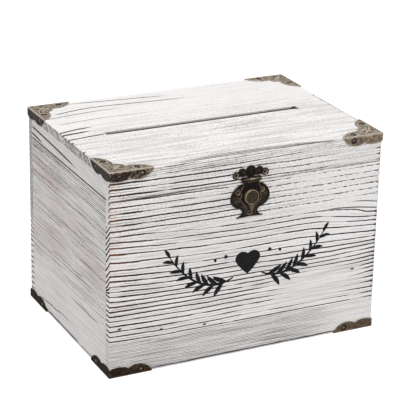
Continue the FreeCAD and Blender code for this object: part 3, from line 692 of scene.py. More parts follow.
def board_grid(u, v, depth_at, hole):
    """Points (along, across, depth) and faces of a closed board, coarser on its inner face."""
    last_u, last_v = len(u) - 1, len(v) - 1
    outer = np.arange(len(u) * len(v)).reshape(len(u), len(v))
    inner_u, inner_v = list(range(len(u))), list(range(len(v)))
    if not hole:
        inner_u = [0, *range(2, last_u - 1, INNER_COLUMNS), last_u]
        inner_v = [0, *range(2, last_v - 1, INNER_ROWS), last_v]
    uu, vv = np.meshgrid(u, v, indexing="ij")
    iu, iv = np.meshgrid(inner_u, inner_v, indexing="ij")
    inner = outer.size + np.arange(iu.size).reshape(iu.shape)
    points = [
        np.stack([uu.ravel(), vv.ravel(), 0 * uu.ravel()], 1),
        np.stack([u[iu].ravel(), v[iv].ravel(), depth_at(v[iv].ravel())], 1),
    ]
    faces = cells(outer, 1, hole) + cells(inner, -1, hole)
    inner_at = {(i, j): int(inner[a, b]) for a, i in enumerate(inner_u) for b, j in enumerate(inner_v)}
    total = outer.size + inner.size
    loops = [(loop_round(0, last_u, 0, last_v), 1)]
    if hole:
        loops.append((loop_round(*hole), -1))
    for loop, way in loops:
        count = len(loop)
        row = [int(outer[place]) for place in loop]
        for share in DEPTH_SHARES:
            points.append(np.array([(u[i], v[j], share * depth_at(v[j])) for i, j in loop]))
            below = list(range(total, total + count))
            faces += wall(row, below, way)
            row = below
            total += count
        marks = [k for k in range(count) if loop[k] in inner_at]
        for k, after in zip(marks, marks[1:] + [marks[0] + count]):
            chain = [row[m % count] for m in range(after, k - 1, -1)]
            faces.append((chain + [inner_at[loop[k]], inner_at[loop[after % count]]])[::way])
    return np.concatenate(points), faces, range(outer.size, outer.size + inner.size)


def rounded(points, size, eased):
    """Points with the eased sides' shared edges rounded off, and the way out of the board at each of them."""
    low = EASE * np.array(["start" in eased, "low" in eased, True])
    high = EASE * np.array(["end" in eased, "high" in eased, False])
    core = np.clip(points, low, np.array(size) - high)
    away = points - core
    gap = np.linalg.norm(away, axis=1, keepdims=True)
    out = away / np.maximum(gap, 1e-9)
    return np.where(gap > EASE, core + out * EASE, points), out


def carved(look, world, out):
    """Looks, line numbers and line spacing at points of a board's skin, and the depth of its grooves."""
    lines_of, look_of = look
    lines = lines_of(world)
    looks = look_of(world, lines)
    steps = []
    for nudge in np.eye(3) * NUDGE:
        steps.append((lines_of(world + nudge) - lines_of(world - nudge)) / (2 * NUDGE))
    steep = np.stack(steps, 1)
    steep = steep - out * np.sum(steep * out, 1, keepdims=True)
    pitch = np.clip(1 / np.maximum(np.linalg.norm(steep, axis=1), 1e-3), 0.4, 30)
    to_any = np.abs(lines - np.round(lines))
    to_main = 2 * np.abs(lines / 2 - np.round(lines / 2))
    gap = np.where(looks["strip"] > 0.5, to_main, to_any) * pitch
    half = GROOVE_HALF * (0.5 + 0.5 * looks["groove"])
    deep = GROOVE_DEPTH * np.clip(looks["groove"] * 1.2, 0, 1) * smooth(half, 0.15 * half, gap)
    return {"lines": lines, "pitch": pitch, **looks}, np.maximum(deep, CRACK_DEPTH * looks["crack"])


def board_piece(node, body, grain, face_axis, face_side, eased, look, woods, low_depth=BOARD, slot=False):
    """A brushed board in place of a CAD board: a closed mesh whose grooves are cut into its faces."""
    low, high = box_of(node)
    cross = 3 - grain - face_axis
    axes = [grain, cross, face_axis]
    size = (high - low)[axes]
    fixed_u, fixed_v, hole = [0, size[0]], [0, size[1]], None
    if slot:
        fixed_u[1:1] = [-SLOT_HALF_LENGTH - low[grain], SLOT_HALF_LENGTH - low[grain]]
        fixed_v[1:1] = [MID_Y - SLOT_HALF_WIDTH - low[cross], MID_Y + SLOT_HALF_WIDTH - low[cross]]
    u, v = stops(fixed_u, COLUMN_STEP), stops(fixed_v, ROW_STEP)
    if slot:
        sides = [(u, place) for place in fixed_u[1:3]] + [(v, place) for place in fixed_v[1:3]]
        hole = [int(np.argmin(np.abs(places - place))) for places, place in sides]

    def depth_at(across):
        return low_depth + (size[2] - low_depth) * np.clip(np.asarray(across) / REBATE_HEIGHT, 0, 1)

    def in_world(local):
        placed = np.empty(local.shape)
        placed[:, [grain, cross]] = low[[grain, cross]] + local[:, :2]
        deep = local[:, 2]
        placed[:, face_axis] = low[face_axis] + deep if face_side < 0 else high[face_axis] - deep
        return placed

    flat, faces, inner_points = board_grid(u, v, depth_at, hole)
    shaped, local_out = rounded(flat, size, eased)
    out = np.empty(local_out.shape)
    out[:, axes] = local_out * (1, 1, -face_side)
    looks, deep = carved(look, in_world(flat), out)
    mesh = closed_mesh(node + "_boarded", in_world(shaped) - out * deep[:, None], faces)
    store(mesh, looks)
    for wood in woods:
        mesh.materials.append(wood)
    inner = [int(min(face) in inner_points and max(face) in inner_points) for face in faces]
    mesh.polygons.foreach_set("material_index", inner)
    piece = add_piece("wood_" + node, mesh, body)
    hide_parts(node)


# Materials


def sum_node(operation):
    """A way to write one kind of sum with values."""
    return lambda self, other=0.0: self.math(operation, self, other)


class Value:
    """A number or colour inside a node tree, so that a material can be written as plain sums."""

    def __init__(self, tree, socket):
        self.tree = tree
        self.socket = socket

    def math(self, operation, a, b):
        node = self.tree.nodes.new("ShaderNodeMath")
        node.operation = operation
        put(self.tree, a, node.inputs[0])
        put(self.tree, b, node.inputs[1])
        return Value(self.tree, node.outputs[0])

    __add__ = sum_node("ADD")
    __sub__ = sum_node("SUBTRACT")
    __mul__ = sum_node("MULTIPLY")
    __abs__ = sum_node("ABSOLUTE")
    fract = sum_node("FRACT")
    larger = sum_node("MAXIMUM")

    def __rsub__(self, other):
        return self.math("SUBTRACT", other, self)

    def clamped(self):
        """The same sum, kept between 0 and 1."""
        self.socket.node.use_clamp = True
        return self

    def ranged(self, low, high, out_low=0.0, out_high=1.0):
        """A soft change from out_low at low to out_high at high."""
        node = self.tree.nodes.new("ShaderNodeMapRange")
        node.interpolation_type = "SMOOTHSTEP"
        names = ("Value", "From Min", "From Max", "To Min", "To Max")
        for name, entry in zip(names, (self, low, high, out_low, out_high)):
            put(self.tree, entry, node.inputs[name])
        return Value(self.tree, node.outputs["Result"])


def put(tree, value, target):
    """Links a value to a socket, or sets a plain number or colour on it."""
    if isinstance(value, Value):
        tree.links.new(value.socket, target)
    else:
        target.default_value = value


def blend(share, a, b, kind="MIX"):
    """Colour a where share is 0 and b where it is 1."""
    node = share.tree.nodes.new("ShaderNodeMix")
    node.data_type = "RGBA"
    node.blend_type = kind
    put(share.tree, share, node.inputs["Factor"])
    for name, colour in (("A", a), ("B", b)):
        target = [s for s in node.inputs if s.name == name and s.type == "RGBA"][0]
        put(share.tree, (*colour, 1) if isinstance(colour, tuple) else colour, target)
    return Value(share.tree, [s for s in node.outputs if s.type == "RGBA"][0])


class Finish:
    """A new material and its shader."""

    def __init__(self, name):
        self.material = bpy.data.materials.new(name)
        self.material.use_nodes = True
        self.tree = self.material.node_tree
        self.shader = self.tree.nodes["Principled BSDF"]

    def set(self, name, value):
        put(self.tree, value, self.shader.inputs[name])

    def stored(self, name):
        """A value kept at the points of the mesh."""
        node = self.tree.nodes.new("ShaderNodeAttribute")
        node.attribute_name = name
        return Value(self.tree, node.outputs["Fac"])

    def noise(self, scale, size, detail=3.0, seed=0.0):
        """Noise on the object's own coordinates; scale is how many units a metre holds along each axis."""
        place = self.tree.nodes.new("ShaderNodeTexCoord")
        mapping = self.tree.nodes.new("ShaderNodeMapping")
        mapping.inputs["Scale"].default_value = scale
        mapping.inputs["Location"].default_value = (seed, seed * 0.7, seed * 1.3)
        self.tree.links.new(place.outputs["Object"], mapping.inputs["Vector"])
        noise = self.tree.nodes.new("ShaderNodeTexNoise")
        noise.inputs["Scale"].default_value = size
        noise.inputs["Detail"].default_value = detail
        self.tree.links.new(mapping.outputs["Vector"], noise.inputs["Vector"])
        return Value(self.tree, noise.outputs["Fac"])

    def done(self, colour, rough, gloss, height, bump):
        """The material, with its colour, roughness, gloss and the metres and strength of its bump set."""
        self.set("Base Color", colour)
        self.set("Roughness", rough)
        self.set("Specular IOR Level", gloss)
        node = self.tree.nodes.new("ShaderNodeBump")
        node.inputs["Distance"].default_value, node.inputs["Strength"].default_value = bump
        put(self.tree, height, node.inputs["Height"])
        self.set("Normal", Value(self.tree, node.outputs["Normal"]))
        return self.material


def stretched(across, grain, along):
    """Noise scales that draw a pattern out along the grain."""
    scale = [across] * 3
    scale[grain] = along
    return scale


# Wood

# scale of a noise that counts in millimetres, the same along every axis
EVEN = 1000.0
WHITEWASH = (0.77, 0.755, 0.745)
# the top's whitewash, painted lighter than the walls' for the light falling on the top
LIT_TOP_WHITE = (0.815, 0.797, 0.786)
TOP_STREAKS = 330.0
THIN_WASH = (0.60, 0.577, 0.570)
BARE_GREY = (0.50, 0.472, 0.465)
RIDGE_WHITE = (0.86, 0.85, 0.845)
FIBRE_GREY = (0.34, 0.312, 0.31)
PIT_GREY = (0.20, 0.178, 0.172)
SEAM_BROWN = (0.20, 0.145, 0.105)
ROSE_TINT = (0.84, 0.73, 0.715)
GROOVE_DARK = (0.022, 0.014, 0.011)
GROOVE_RUST = (0.15, 0.047, 0.017)
STAIN_TINT = (0.78, 0.64, 0.57)
LINE_WOBBLE = 0.22
LINE_LEAST = 0.13
LINE_SWELL = 0.64
WOOD_GLOSS = 0.25
# metres and strength
WOOD_BUMP = (0.0004, 0.35)
FINE_BUMP = (0.0003, 0.4)
METAL_BUMP = (0.0003, 0.5)


def wood_material(name, grain, across=EVEN, white=WHITEWASH):
    """Whitewash over brushed wood; across is how fine its streaks are, in units a metre."""
    finish = Finish(name)
    streak = finish.noise(stretched(across, grain, 24.0), 0.7, 4.0)
    hair = finish.noise(stretched(across, grain, 24.0), 2.2, 3.0, 7.0)
    flake = finish.noise(stretched(EVEN, grain, 260.0), 0.9, 3.0, 3.0)
    fibre = finish.noise(stretched(across * 0.8, grain, 15.0), 1.0, 2.0, 13.0)
    pit = finish.noise(stretched(across * 1.5, grain, 620.0), 1.0, 2.0, 21.0)
    look = {kind: finish.stored(kind) for kind in ("lines", "pitch", *LOOK_NAMES)}
    groove = look["groove"]

    # the distance to the nearest line, and on a strip to the nearest main line
    count = look["lines"] + (flake - 0.5) * LINE_WOBBLE
    near = abs((count + 0.5).fract() - 0.5)
    near_main = abs((count * 0.5 + 0.5).fract() - 0.5) * 2.0
    gap = (near + (near_main - near) * look["strip"]) * look["pitch"]
    half = groove * LINE_SWELL + LINE_LEAST

    # the dark of grooves, broken up by flakes of paint, and of cracks and the painted shade kept with them
    broken = flake.ranged(0.42, 0.56, 1.0 - look["speck"], 1.0)
    dark = gap.ranged(half * 1.2, half * 0.7) * (groove * 2.0).clamped() * broken
    dark = dark.larger(look["crack"].ranged(0.1, 0.7) * 0.95)

    # the wash, from its thin streaks to the dirt on it
    wash = blend(streak.ranged(0.40, 0.72) * look["thin"], white, THIN_WASH)
    wash = blend(look["worn"] * hair.ranged(0.35, 0.65), wash, BARE_GREY)
    # a painted highlight: whiter wash along the lips of the grooves
    ridge = gap.ranged(half + 1.5, half + 0.3) * (groove * 0.75).clamped()
    wash = blend(ridge, wash, RIDGE_WHITE)
    wash = blend((fibre.ranged(0.5, 0.66) * look["fibre"] * 0.6).clamped(), wash, FIBRE_GREY)
    wash = blend(pit.ranged(0.56, 0.68) * look["pits"], wash, PIT_GREY)
    wash = blend(look["tint"], wash, ROSE_TINT, "MULTIPLY")
    wash = blend(look["stain"] * gap.ranged(half + 0.8, half, 0.0, 0.5), wash, STAIN_TINT, "MULTIPLY")
    wash = blend(look["seam"] * flake.ranged(0.36, 0.56, 0.35, 1.0) * 0.85, wash, SEAM_BROWN)

    colour = blend(dark, wash, blend(look["stain"], GROOVE_DARK, GROOVE_RUST))
    rough = streak.ranged(0.3, 0.7, 0.55, 0.75)
    return finish.done(colour, rough, WOOD_GLOSS, streak + hair * 0.6, WOOD_BUMP)


INSIDE_PALE = (0.62, 0.555, 0.48)
INSIDE_GREY = (0.50, 0.435, 0.365)
INSIDE_LINE = (0.29, 0.225, 0.17)


def inside_material(name, grain):
    """Bare wood on the faces that nobody painted, with its figure along one axis."""
    finish = Finish(name)
    figure = finish.noise(stretched(130.0, grain, 9.0), 1.0, 3.0, 11.0)
    pores = finish.noise(stretched(EVEN, grain, 40.0), 0.9, 3.0, 5.0)
    colour = blend(figure.ranged(0.36, 0.66), INSIDE_PALE, INSIDE_GREY)
    colour = blend(pores.ranged(0.56, 0.74, 0.0, 0.75), colour, INSIDE_LINE)
    return finish.done(colour, pores.ranged(0.3, 0.7, 0.62, 0.8), WOOD_GLOSS, pores, FINE_BUMP)


# Metal finishes

BRONZE_DARK, BRONZE_OLIVE, BRONZE_LIGHT = (0.024, 0.0165, 0.0135), (0.183, 0.143, 0.102), (0.40, 0.337, 0.285)
FOOT_DARK, FOOT_LIGHT = (0.022, 0.0135, 0.008), (0.20, 0.15, 0.105)
HASP_DARK, HASP_LIGHT, HASP_POLISH_AND_GLINT = (0.010, 0.0085, 0.0065), (0.175, 0.128, 0.093), (0.27, 0.222, 0.155)
BRASS_DARK, BRASS_LIGHT = (0.022, 0.016, 0.010), (0.25, 0.20, 0.13)
NAIL_DARK, NAIL_LIGHT = (0.04, 0.033, 0.028), (0.30, 0.26, 0.21)
STEEL_DARK, STEEL_LIGHT = (0.22, 0.21, 0.20), (0.50, 0.49, 0.48)


def metal_material(
    name, dark, light, middle=None, polished=None, worn=True, metallic=(0.05, 0.75), start=0.1, specular=0.08,
    relief=0.5, mottle_share=0.9, grit_size=1.6, grit_share=0.45,
):
    """Patinated metal: dark in its hollows, lighter where it stands out, where hands have rubbed it and where
    light and shade are painted in.
    """
    finish = Finish(name)
    mottle = finish.noise((EVEN,) * 3, 0.32, 4.0, 2.0)
    grit = finish.noise((EVEN,) * 3, grit_size, 3.0, 9.0)
    share = (mottle - 0.5) * mottle_share + start + (grit - 0.5) * grit_share
    if worn:
        share = share + ((finish.stored("raised") - 0.6) * relief + finish.stored("rubbed"))
    if middle:
        colour = blend(share.ranged(0.0, 0.5), dark, middle)
        colour = blend(share.ranged(0.5, 1.0), colour, light)
    else:
        colour = blend(share.ranged(0.0, 1.0), dark, light)
    if polished:
        # polished metal where it is rubbed, which also colours the painted highlight on the hasp's barrel
        colour = blend(finish.stored("rubbed").ranged(0.4, 0.9), colour, polished)
    finish.set("Metallic", share.ranged(0.0, 1.0, *metallic))
    return finish.done(colour, grit.ranged(0.3, 0.7, 0.34, 0.55), specular, mottle + grit * 0.4, METAL_BUMP)


# Metal fittings: evenly meshed copies of the CAD shapes, with their ornament cut into the outer faces

BRACKET_VOXEL = 0.45
HASP_VOXEL = 0.28
LEAF_VOXEL = 0.4
ORNAMENT_DEPTH = 0.32
RIM_WIDTH = 1.0
FACE_NAIL = (30.0, 6.8)
SIDE_NAIL = (32.3, 4.1)
DIMPLE_RADIUS = 3.0
OUTER_SKIN = 0.75
ARRIS = 0.9
TIP_FROM, TIP_TO = 16, 34
# how dark the painted shade in a nail's dimple is
DIMPLE_SHADE = -0.5
SECOND_LINE = (3.1, 0.4)
STEM_UP, STEM_WAVE, STEM_TURN = 4.2, 1.3, 0.42
STEM_FROM, STEM_UNTIL = (3, 6), (28, 24)
FAR = 99.0


def even_copy(node, voxel):
    """A copy of a CAD node's shape in small even faces."""
    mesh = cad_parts[node].data.copy()
    ghost = add_object("even_" + node, mesh)
    even = ghost.modifiers.new("even", "REMESH")
    even.mode = "VOXEL"
    even.voxel_size = voxel * MM
    made = bpy.data.meshes.new_from_object(ghost.evaluated_get(bpy.context.evaluated_depsgraph_get()))
    bpy.data.objects.remove(ghost)
    bpy.data.meshes.remove(mesh)
    made.materials.clear()
    return made


def rim_gap(points, normals, axis, asked):
    """How far the asked points of a plate lie from its walls, seen along the axis; others are far away."""
    flat = points.copy()
    flat[:, axis] = 0
    rim = flat[np.abs(normals[:, axis]) < 0.5]
    tree = kdtree.KDTree(len(rim))
    for number, point in enumerate(rim):
        tree.insert(point, number)
    tree.balance()
    gap = np.full(len(points), FAR)
    gap[asked] = [tree.find(point)[2] for point in flat[asked]]
    return gap


def rim_line(gap):
    return smooth(RIM_WIDTH * 1.5, RIM_WIDTH * 0.8, gap)


CURL = spiral(FACE_NAIL, (3.2, 4.3), (-60, 235))
CURL += bezier(((27.5, 3.3), (22, 4.2), (16, 5.5), (12.5, 9.5)))[1:]
INNER_CURL = bezier(((24.5, 8.5), (20, 7.5), (17.5, 9.0), (16.5, 12.0)))
INNER_CURL += spiral((15.0, 12.0), (1.5, 0.9), (0, 200), 12)
LEAF_RIB = [(5.5, 5.5), (16.5, 16.5)]
LEAF_SIDE = bezier(((8.0, 8.0), (11.0, 8.5), (13.5, 11.0), (15.5, 15.0)))
# each raised line of a bracket's large face and its half width
FACE_LINES = ((CURL, 0.65), (INNER_CURL, 0.55), (LEAF_RIB, 0.7), (LEAF_SIDE, 0.55))


def face_ornament(a, b, gap):
    """Raised parts of a bracket's large face: two lines along its rim, curls round the nails and a leaf."""
    raised = np.maximum(rim_line(gap), 0.75 * band(gap, *SECOND_LINE))
    for path, half in FACE_LINES:
        for one, other in ((a, b), (b, a)):
            raised = np.maximum(raised, band(distance_to_path(one, other, path)[0], 0, half))
    return raised


def flange_ornament(a, c, gap):
    """Raised parts of a bracket's side: its rim and a faint wavy stem on a nearly plain face."""
    stem = c - STEM_UP - STEM_WAVE * np.sin(a * STEM_TURN)
    inside = smooth(*STEM_FROM, a) * smooth(*STEM_UNTIL, a)
    return np.maximum.reduce([0.55 + 0 * a, 0.8 * rim_line(gap), 0.7 * band(stem, 0, 0.5) * inside])


def bracket_ornament(points, normals, node, rubbed):
    """Depth, raised share and the share of rubbed wear and painted light and shade over a corner bracket,
    measured from the box's corner.
    """
    low, high = box_of(node)
    way = np.where((low + high) / 2 > (0, MID_Y, SEAM_Z / 2), 1, -1)
    local = (np.where(way > 0, high, low) - points) * way
    facing = normals * way
    # each face's level holds rubbed wear and painted light and shade, lighter on the right-hand sides; the
    # tip's extra is wear
    face_rub_light, front_rub_light, side_rub_light, tip_rub = rubbed
    raised = np.ones(len(points))
    bright = np.full(len(points), side_rub_light + 0.1)
    sides = ((UP, FACE_NAIL, face_rub_light), (DEEP, SIDE_NAIL, front_rub_light), (LONG, SIDE_NAIL, side_rub_light))
    for axis, nail, own in sides:
        skin = (local[:, axis] < OUTER_SKIN) & (facing[:, axis] > 0.6)
        gap = rim_gap(points, normals, axis, skin)
        a, b = (local[:, k] for k in range(3) if k != axis)
        dimple = np.hypot(a - nail[0], b - nail[1]) < DIMPLE_RADIUS
        if axis == UP:
            made = face_ornament(a, b, gap)
            dimple = dimple | (np.hypot(b - nail[0], a - nail[1]) < DIMPLE_RADIUS)
        else:
            made = flange_ornament(a, b, gap)
        raised = np.where(skin, made, raised)
        tip = tip_rub * smooth(TIP_FROM, TIP_TO, a) if axis == DEEP else 0
        # painted shade in the dimples round the nails
        bright = np.where(skin, np.where(dimple, DIMPLE_SHADE, own + tip), bright)
    # a painted highlight along the top arris of the bracket
    arris = (local[:, 2] < ARRIS) & (np.minimum(local[:, 0], local[:, 1]) < ARRIS)
    bright = np.where(arris, np.maximum(bright, face_rub_light + 0.15), bright)
    return ORNAMENT_DEPTH * (1 - raised), raised, bright


# Heights and places on the hasp, from the seam and the hasp's middle
PIN_UP = 3.0
NAIL_RING = (2.05, 0.45)
NAIL_HOLE = (1.65, 1.35)
BARREL_HALF = 2.2
CREST_UP = PIN_UP + 0.7
BUTTON_DOWN = 14.1
BUTTON_RADIUS = 7.2
BUTTON_RIM, BUTTON_RING, BUTTON_BOSS = (5.9, 6.3), (4.6, 0.35), (1.4, 1.0)
PETAL_RING = (2.7, 0.8)
BODY_PLATE_NAILS = ((-12.6, -9.5), (12.6, -9.5), (0.0, -30.7))
LID_PLATE_NAILS = ((-14.9, 7.4), (14.9, 7.4))
LID_RIM, FAN_Z, FAN_GAP = (1.2, 0.7), (5, 8), (1.2, 2.2)
BODY_RIM, BODY_FIELD, BODY_LINE = (1.0, 0.6), (1.6, 2.0), (2.9, 0.3)
FLAP_WAVE, FLAP_TURN = 0.25, 2.4
FLAP_RIM, FLAP_LINE, FLAP_EDGE = (1.1, 0.6), (1.9, 0.25), (0.9, 0.4)
HINGE_RIM, HINGE_FIELD = (1.1, 0.7), (1.7, 2.1)
CREST_HALF, SHINE_HALF = (1.4, 0.3), 4.5
BUTTON_SHINE = (6.1, 6.5)
FAN_FOOT, FAN_RAYS = 1.0, 9
PETALS = 8


def nail_rings(x, z, nails):
    """Raised rings round nails, and the dark holes inside them."""
    away = np.min([np.hypot(x - nail[0], z - nail[1]) for nail in nails], axis=0)
    return band(away, *NAIL_RING), smooth(*NAIL_HOLE, away)


def hasp_skin(points, normals):
    """Which points face the front, their places from the hasp's middle and their distance to the outline."""
    skin = normals[:, 1] < -0.35
    return skin, points[:, 0], points[:, 2] - SEAM_Z, rim_gap(points, normals, DEEP, skin)


def with_barrel(raised, bright, skin, x, z, normals, rubbed):
    """Leaves the barrel plain, with painted shade at its ends and a painted highlight along its crest,
    brightest in the middle.
    """
    barrel = np.abs(z - PIN_UP) < BARREL_HALF
    raised = np.where(skin & ~barrel, raised, 1.0)
    crest = rubbed + (0.4 + 0.6 * bell(x, 0, SHINE_HALF)) * smooth(*CREST_HALF, np.abs(z - CREST_UP))
    shine = np.where(np.abs(normals[:, 0]) > 0.4, -0.5, crest)
    return ORNAMENT_DEPTH * (1 - raised), np.where(barrel, 0.5, raised), np.where(barrel, shine, bright)


def lid_plate_ornament(points, normals, rubbed):
    """A rim, rings round the nails and a fan of rays."""
    skin, x, z, gap = hasp_skin(points, normals)
    ring, hole = nail_rings(x, z, LID_PLATE_NAILS)
    fan = np.cos(np.arctan2(x, z - FAN_FOOT) * FAN_RAYS) * smooth(*FAN_Z, z) * smooth(*FAN_GAP, gap)
    raised = np.maximum.reduce([smooth(*LID_RIM, gap), ring, 0.8 * smooth(0.1, 0.8, fan)])
    # raised rings rubbed bright, and painted shade in the nail holes
    bright = np.where(skin, rubbed + 0.72 * ring - 0.6 * hole, rubbed)
    return with_barrel(raised, bright, skin, x, z, normals, rubbed)


def body_plate_ornament(points, normals, rubbed):
    """Two lines along the outline and rings round the nails."""
    skin, x, z, gap = hasp_skin(points, normals)
    ring, hole = nail_rings(x, z, BODY_PLATE_NAILS)
    lines = np.maximum(smooth(*BODY_RIM, gap), smooth(*BODY_FIELD, gap))
    raised = np.where(skin, np.maximum(lines * (1 - band(gap, *BODY_LINE)), ring), 1.0)
    # raised rings rubbed bright, and painted shade in the nail holes
    bright = np.where(skin, rubbed + 0.6 * ring - 0.6 * hole, rubbed)
    return ORNAMENT_DEPTH * (1 - raised), raised, bright


def flap_ornament(points, normals, rubbed):
    """A wavy rim with a line inside it."""
    skin, x, z, gap = hasp_skin(points, normals)
    wave = gap + FLAP_WAVE * np.sin(z * FLAP_TURN)
    raised = np.maximum(smooth(*FLAP_RIM, wave), 0.6 * band(wave, *FLAP_LINE))
    bright = np.where(skin, rubbed + 0.35 * smooth(*FLAP_EDGE, wave), rubbed)
    return with_barrel(raised, bright, skin, x, z, normals, rubbed)


def button_ornament(points, normals, rubbed):
    """A rim, a ring and a small rosette on the button, with the tab below it left plain."""
    skin, x, z, _ = hasp_skin(points, normals)
    away = np.hypot(x, z + BUTTON_DOWN)
    angle = np.arctan2(x, z + BUTTON_DOWN)
    petals = smooth(-0.2, 0.5, np.cos(angle * PETALS)) * band(away, *PETAL_RING)
    rings = np.maximum(smooth(*BUTTON_RIM, away), band(away, *BUTTON_RING))
    raised = np.maximum.reduce([rings, petals, smooth(*BUTTON_BOSS, away)])
    raised = np.where(skin & (away < BUTTON_RADIUS), raised, 1.0)
    # a painted highlight round the button's rim, and the tab below a little lighter
    bright = rubbed + np.where(away < BUTTON_RADIUS, 0.42 * smooth(*BUTTON_SHINE, away), 0.2)
    return ORNAMENT_DEPTH * (1 - raised), np.where(away < BUTTON_RADIUS, raised, 0.75), bright


def leaf_ornament(points, normals, rubbed):
    """A line round a hinge leaf, on its outer face."""
    skin = normals[:, 1] > 0.35
    gap = rim_gap(points, normals, DEEP, skin)
    rim = smooth(*HINGE_RIM, gap)
    raised = np.where(skin, np.maximum(rim, smooth(*HINGE_FIELD, gap)), 1.0)
    return 0.7 * ORNAMENT_DEPTH * (1 - raised), raised, rubbed + 0.2 * rim


def cast_piece(node, body, slot, material, voxel, ornament, *wear):
    """A metal piece in place of a CAD piece, with its ornament cut in and its wear and painted light and
    shade kept as attributes.
    """
    mesh = even_copy(node, voxel)
    points, normals = mesh_arrays(mesh)
    deep, raised, bright = ornament(points, normals, *wear)
    low, high = box_of(node)
    placed = np.clip(points - normals * deep[:, None], low, high)
    mesh.vertices.foreach_set("co", (placed * MM).ravel())
    store(mesh, {"raised": raised, "rubbed": bright})
    mesh.materials.append(material)
    mesh.shade_smooth()
    mesh.update()
    piece = add_piece("cast_" + node, mesh, body)
    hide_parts(node)


# Painted ornament on the front: a heart between two leafy sprigs

PAINT_CENTRE = (0.0, 97.0)
PAINT_PROUD = 0.16
PAINT_LAYER = 0.005
PAINT_BACK = 0.12
PAINT_STEP = 0.6
PAINT_FINE = 0.55
PAINT_BLACK = (0.006, 0.0055, 0.006)
PAINT_THIN = (0.09, 0.087, 0.085)
PAINT_GLOSS = 0.1
HALF_HEART = ((-0.2, -15.5), (2.6, -8.5), (5.6, -2.5), (7.0, 7.0))
HALF_HEART_WIDE = 14.8
DROP_ROUND_FROM = 0.7
SPRIG = ((15.0, -17.0), (36.0, -29.0), (62.0, -16.0), (80.0, 13.0))
LEAF_PAIRS = 7
LEAF_LONG, LEAF_SHORT = 17.0, 11.0
LEAF_SPREAD = math.radians(43)
LEAF_WIDE = 0.28
LEAF_BEND = 1.4
STEM_BRUSH = (2.2, 0.9, 0.6)
TIP_BRUSH = (3.2, 0.4)
DOTS = (((23.0, 5.0), 3.6), ((34.0, 3.0), 2.8))


def brush(most, least=0.5, early=1.0):
    """Width of a brush stroke that swells and thins again; early moves its widest place towards the start."""
    return lambda share: least + (most - least) * np.sin(np.pi * share**early) ** 0.9


def drop(most):
    """Width of a stroke that starts at a point and ends round."""

    def wide(share):
        before = 0.04 + 0.96 * (share / DROP_ROUND_FROM) ** 0.8
        end = np.sqrt(np.clip(1 - ((share - DROP_ROUND_FROM) / (1 - DROP_ROUND_FROM)) ** 2, 0.004, 1))
        return most * np.where(share < DROP_ROUND_FROM, before, end)

    return wide


def dot(middle, across):
    """Path and width of a round dot."""
    path = [(middle[0] - across / 2, middle[1]), (middle[0] + across / 2, middle[1])]
    return path, lambda share: across * np.sqrt(np.clip(1 - (2 * share - 1) ** 2, 0.01, 1))


def leaf_path(start, way, length, bend):
    """A leaf's middle line from its stalk, bent to one side."""
    start = np.array(start)
    ahead = np.array([math.cos(way), math.sin(way)])
    side = np.array([-ahead[1], ahead[0]]) * bend
    ahead = ahead * length
    return bezier((start, start + ahead * 0.35 + side, start + ahead * 0.7 + side, start + ahead))


def ornament_strokes():
    """Brush strokes of the right half, from the middle of the ornament: half a heart and a leafy sprig."""
    stem = bezier(SPRIG, 60)
    strokes = [(bezier(HALF_HEART), drop(HALF_HEART_WIDE)), (stem, brush(*STEM_BRUSH))]
    for pair in range(LEAF_PAIRS):
        share = (pair + 0.9) / (LEAF_PAIRS + 0.6)
        length = LEAF_LONG + (LEAF_SHORT - LEAF_LONG) * share
        for side, late in ((1, 0.0), (-1, 0.05)):
            at = int((share + late) * (len(stem) - 2))
            way = math.atan2(stem[at + 1][1] - stem[at][1], stem[at + 1][0] - stem[at][0])
            leaf = leaf_path(stem[at], way + side * LEAF_SPREAD, length, -side * LEAF_BEND)
            strokes.append((leaf, brush(length * LEAF_WIDE, 0.4)))
    tip = math.atan2(stem[-1][1] - stem[-2][1], stem[-1][0] - stem[-2][0])
    strokes.append((leaf_path(stem[-1], tip, LEAF_SHORT, 0.6), brush(*TIP_BRUSH)))
    return strokes + [dot(*place) for place in DOTS]


def stroke_grid(path, wide):
    """Places across a brush stroke, row after row along it."""
    path = np.array(path)
    run = np.concatenate([[0], np.cumsum(np.hypot(*np.diff(path, axis=0).T))])
    at = np.linspace(0, run[-1], max(8, round(run[-1] / PAINT_STEP)))
    middle = np.stack([np.interp(at, run, path[:, k]) for k in range(2)], 1)
    way = np.gradient(middle, axis=0)
    side = np.stack([-way[:, 1], way[:, 0]], 1) / np.linalg.norm(way, axis=1, keepdims=True)
    widths = wide(at / run[-1])
    across = np.linspace(-0.5, 0.5, max(4, math.ceil(widths.max() / PAINT_FINE)))
    return middle[:, None, :] + side[:, None, :] * (widths[:, None] * across[None, :])[:, :, None]


def on_front(flat, proud):
    """Places on the front board's brushed surface, raised by a coat of paint."""
    world = np.stack([flat[:, 0], np.full(len(flat), FRONT_Y), flat[:, 1]], 1)
    _, deep = carved(FRONT_LOOK, world, np.tile(np.array([0.0, -1.0, 0.0]), (len(flat), 1)))
    world[:, 1] += deep - proud
    return world


def coat(grid, proud):
    """Points and faces of a thin closed coat of paint over a grid of places."""
    rows, across = grid.shape[:2]
    flat = grid.reshape(-1, 2) + np.array(PAINT_CENTRE)
    points = np.concatenate([on_front(flat, proud), on_front(flat, -PAINT_BACK)])
    index = np.arange(rows * across).reshape(rows, across)
    behind = index + rows * across
    rim = loop_round(0, rows - 1, 0, across - 1)
    sides = wall([index[place] for place in rim], [behind[place] for place in rim])
    return points, np.array(cells(index) + cells(behind, -1) + sides)


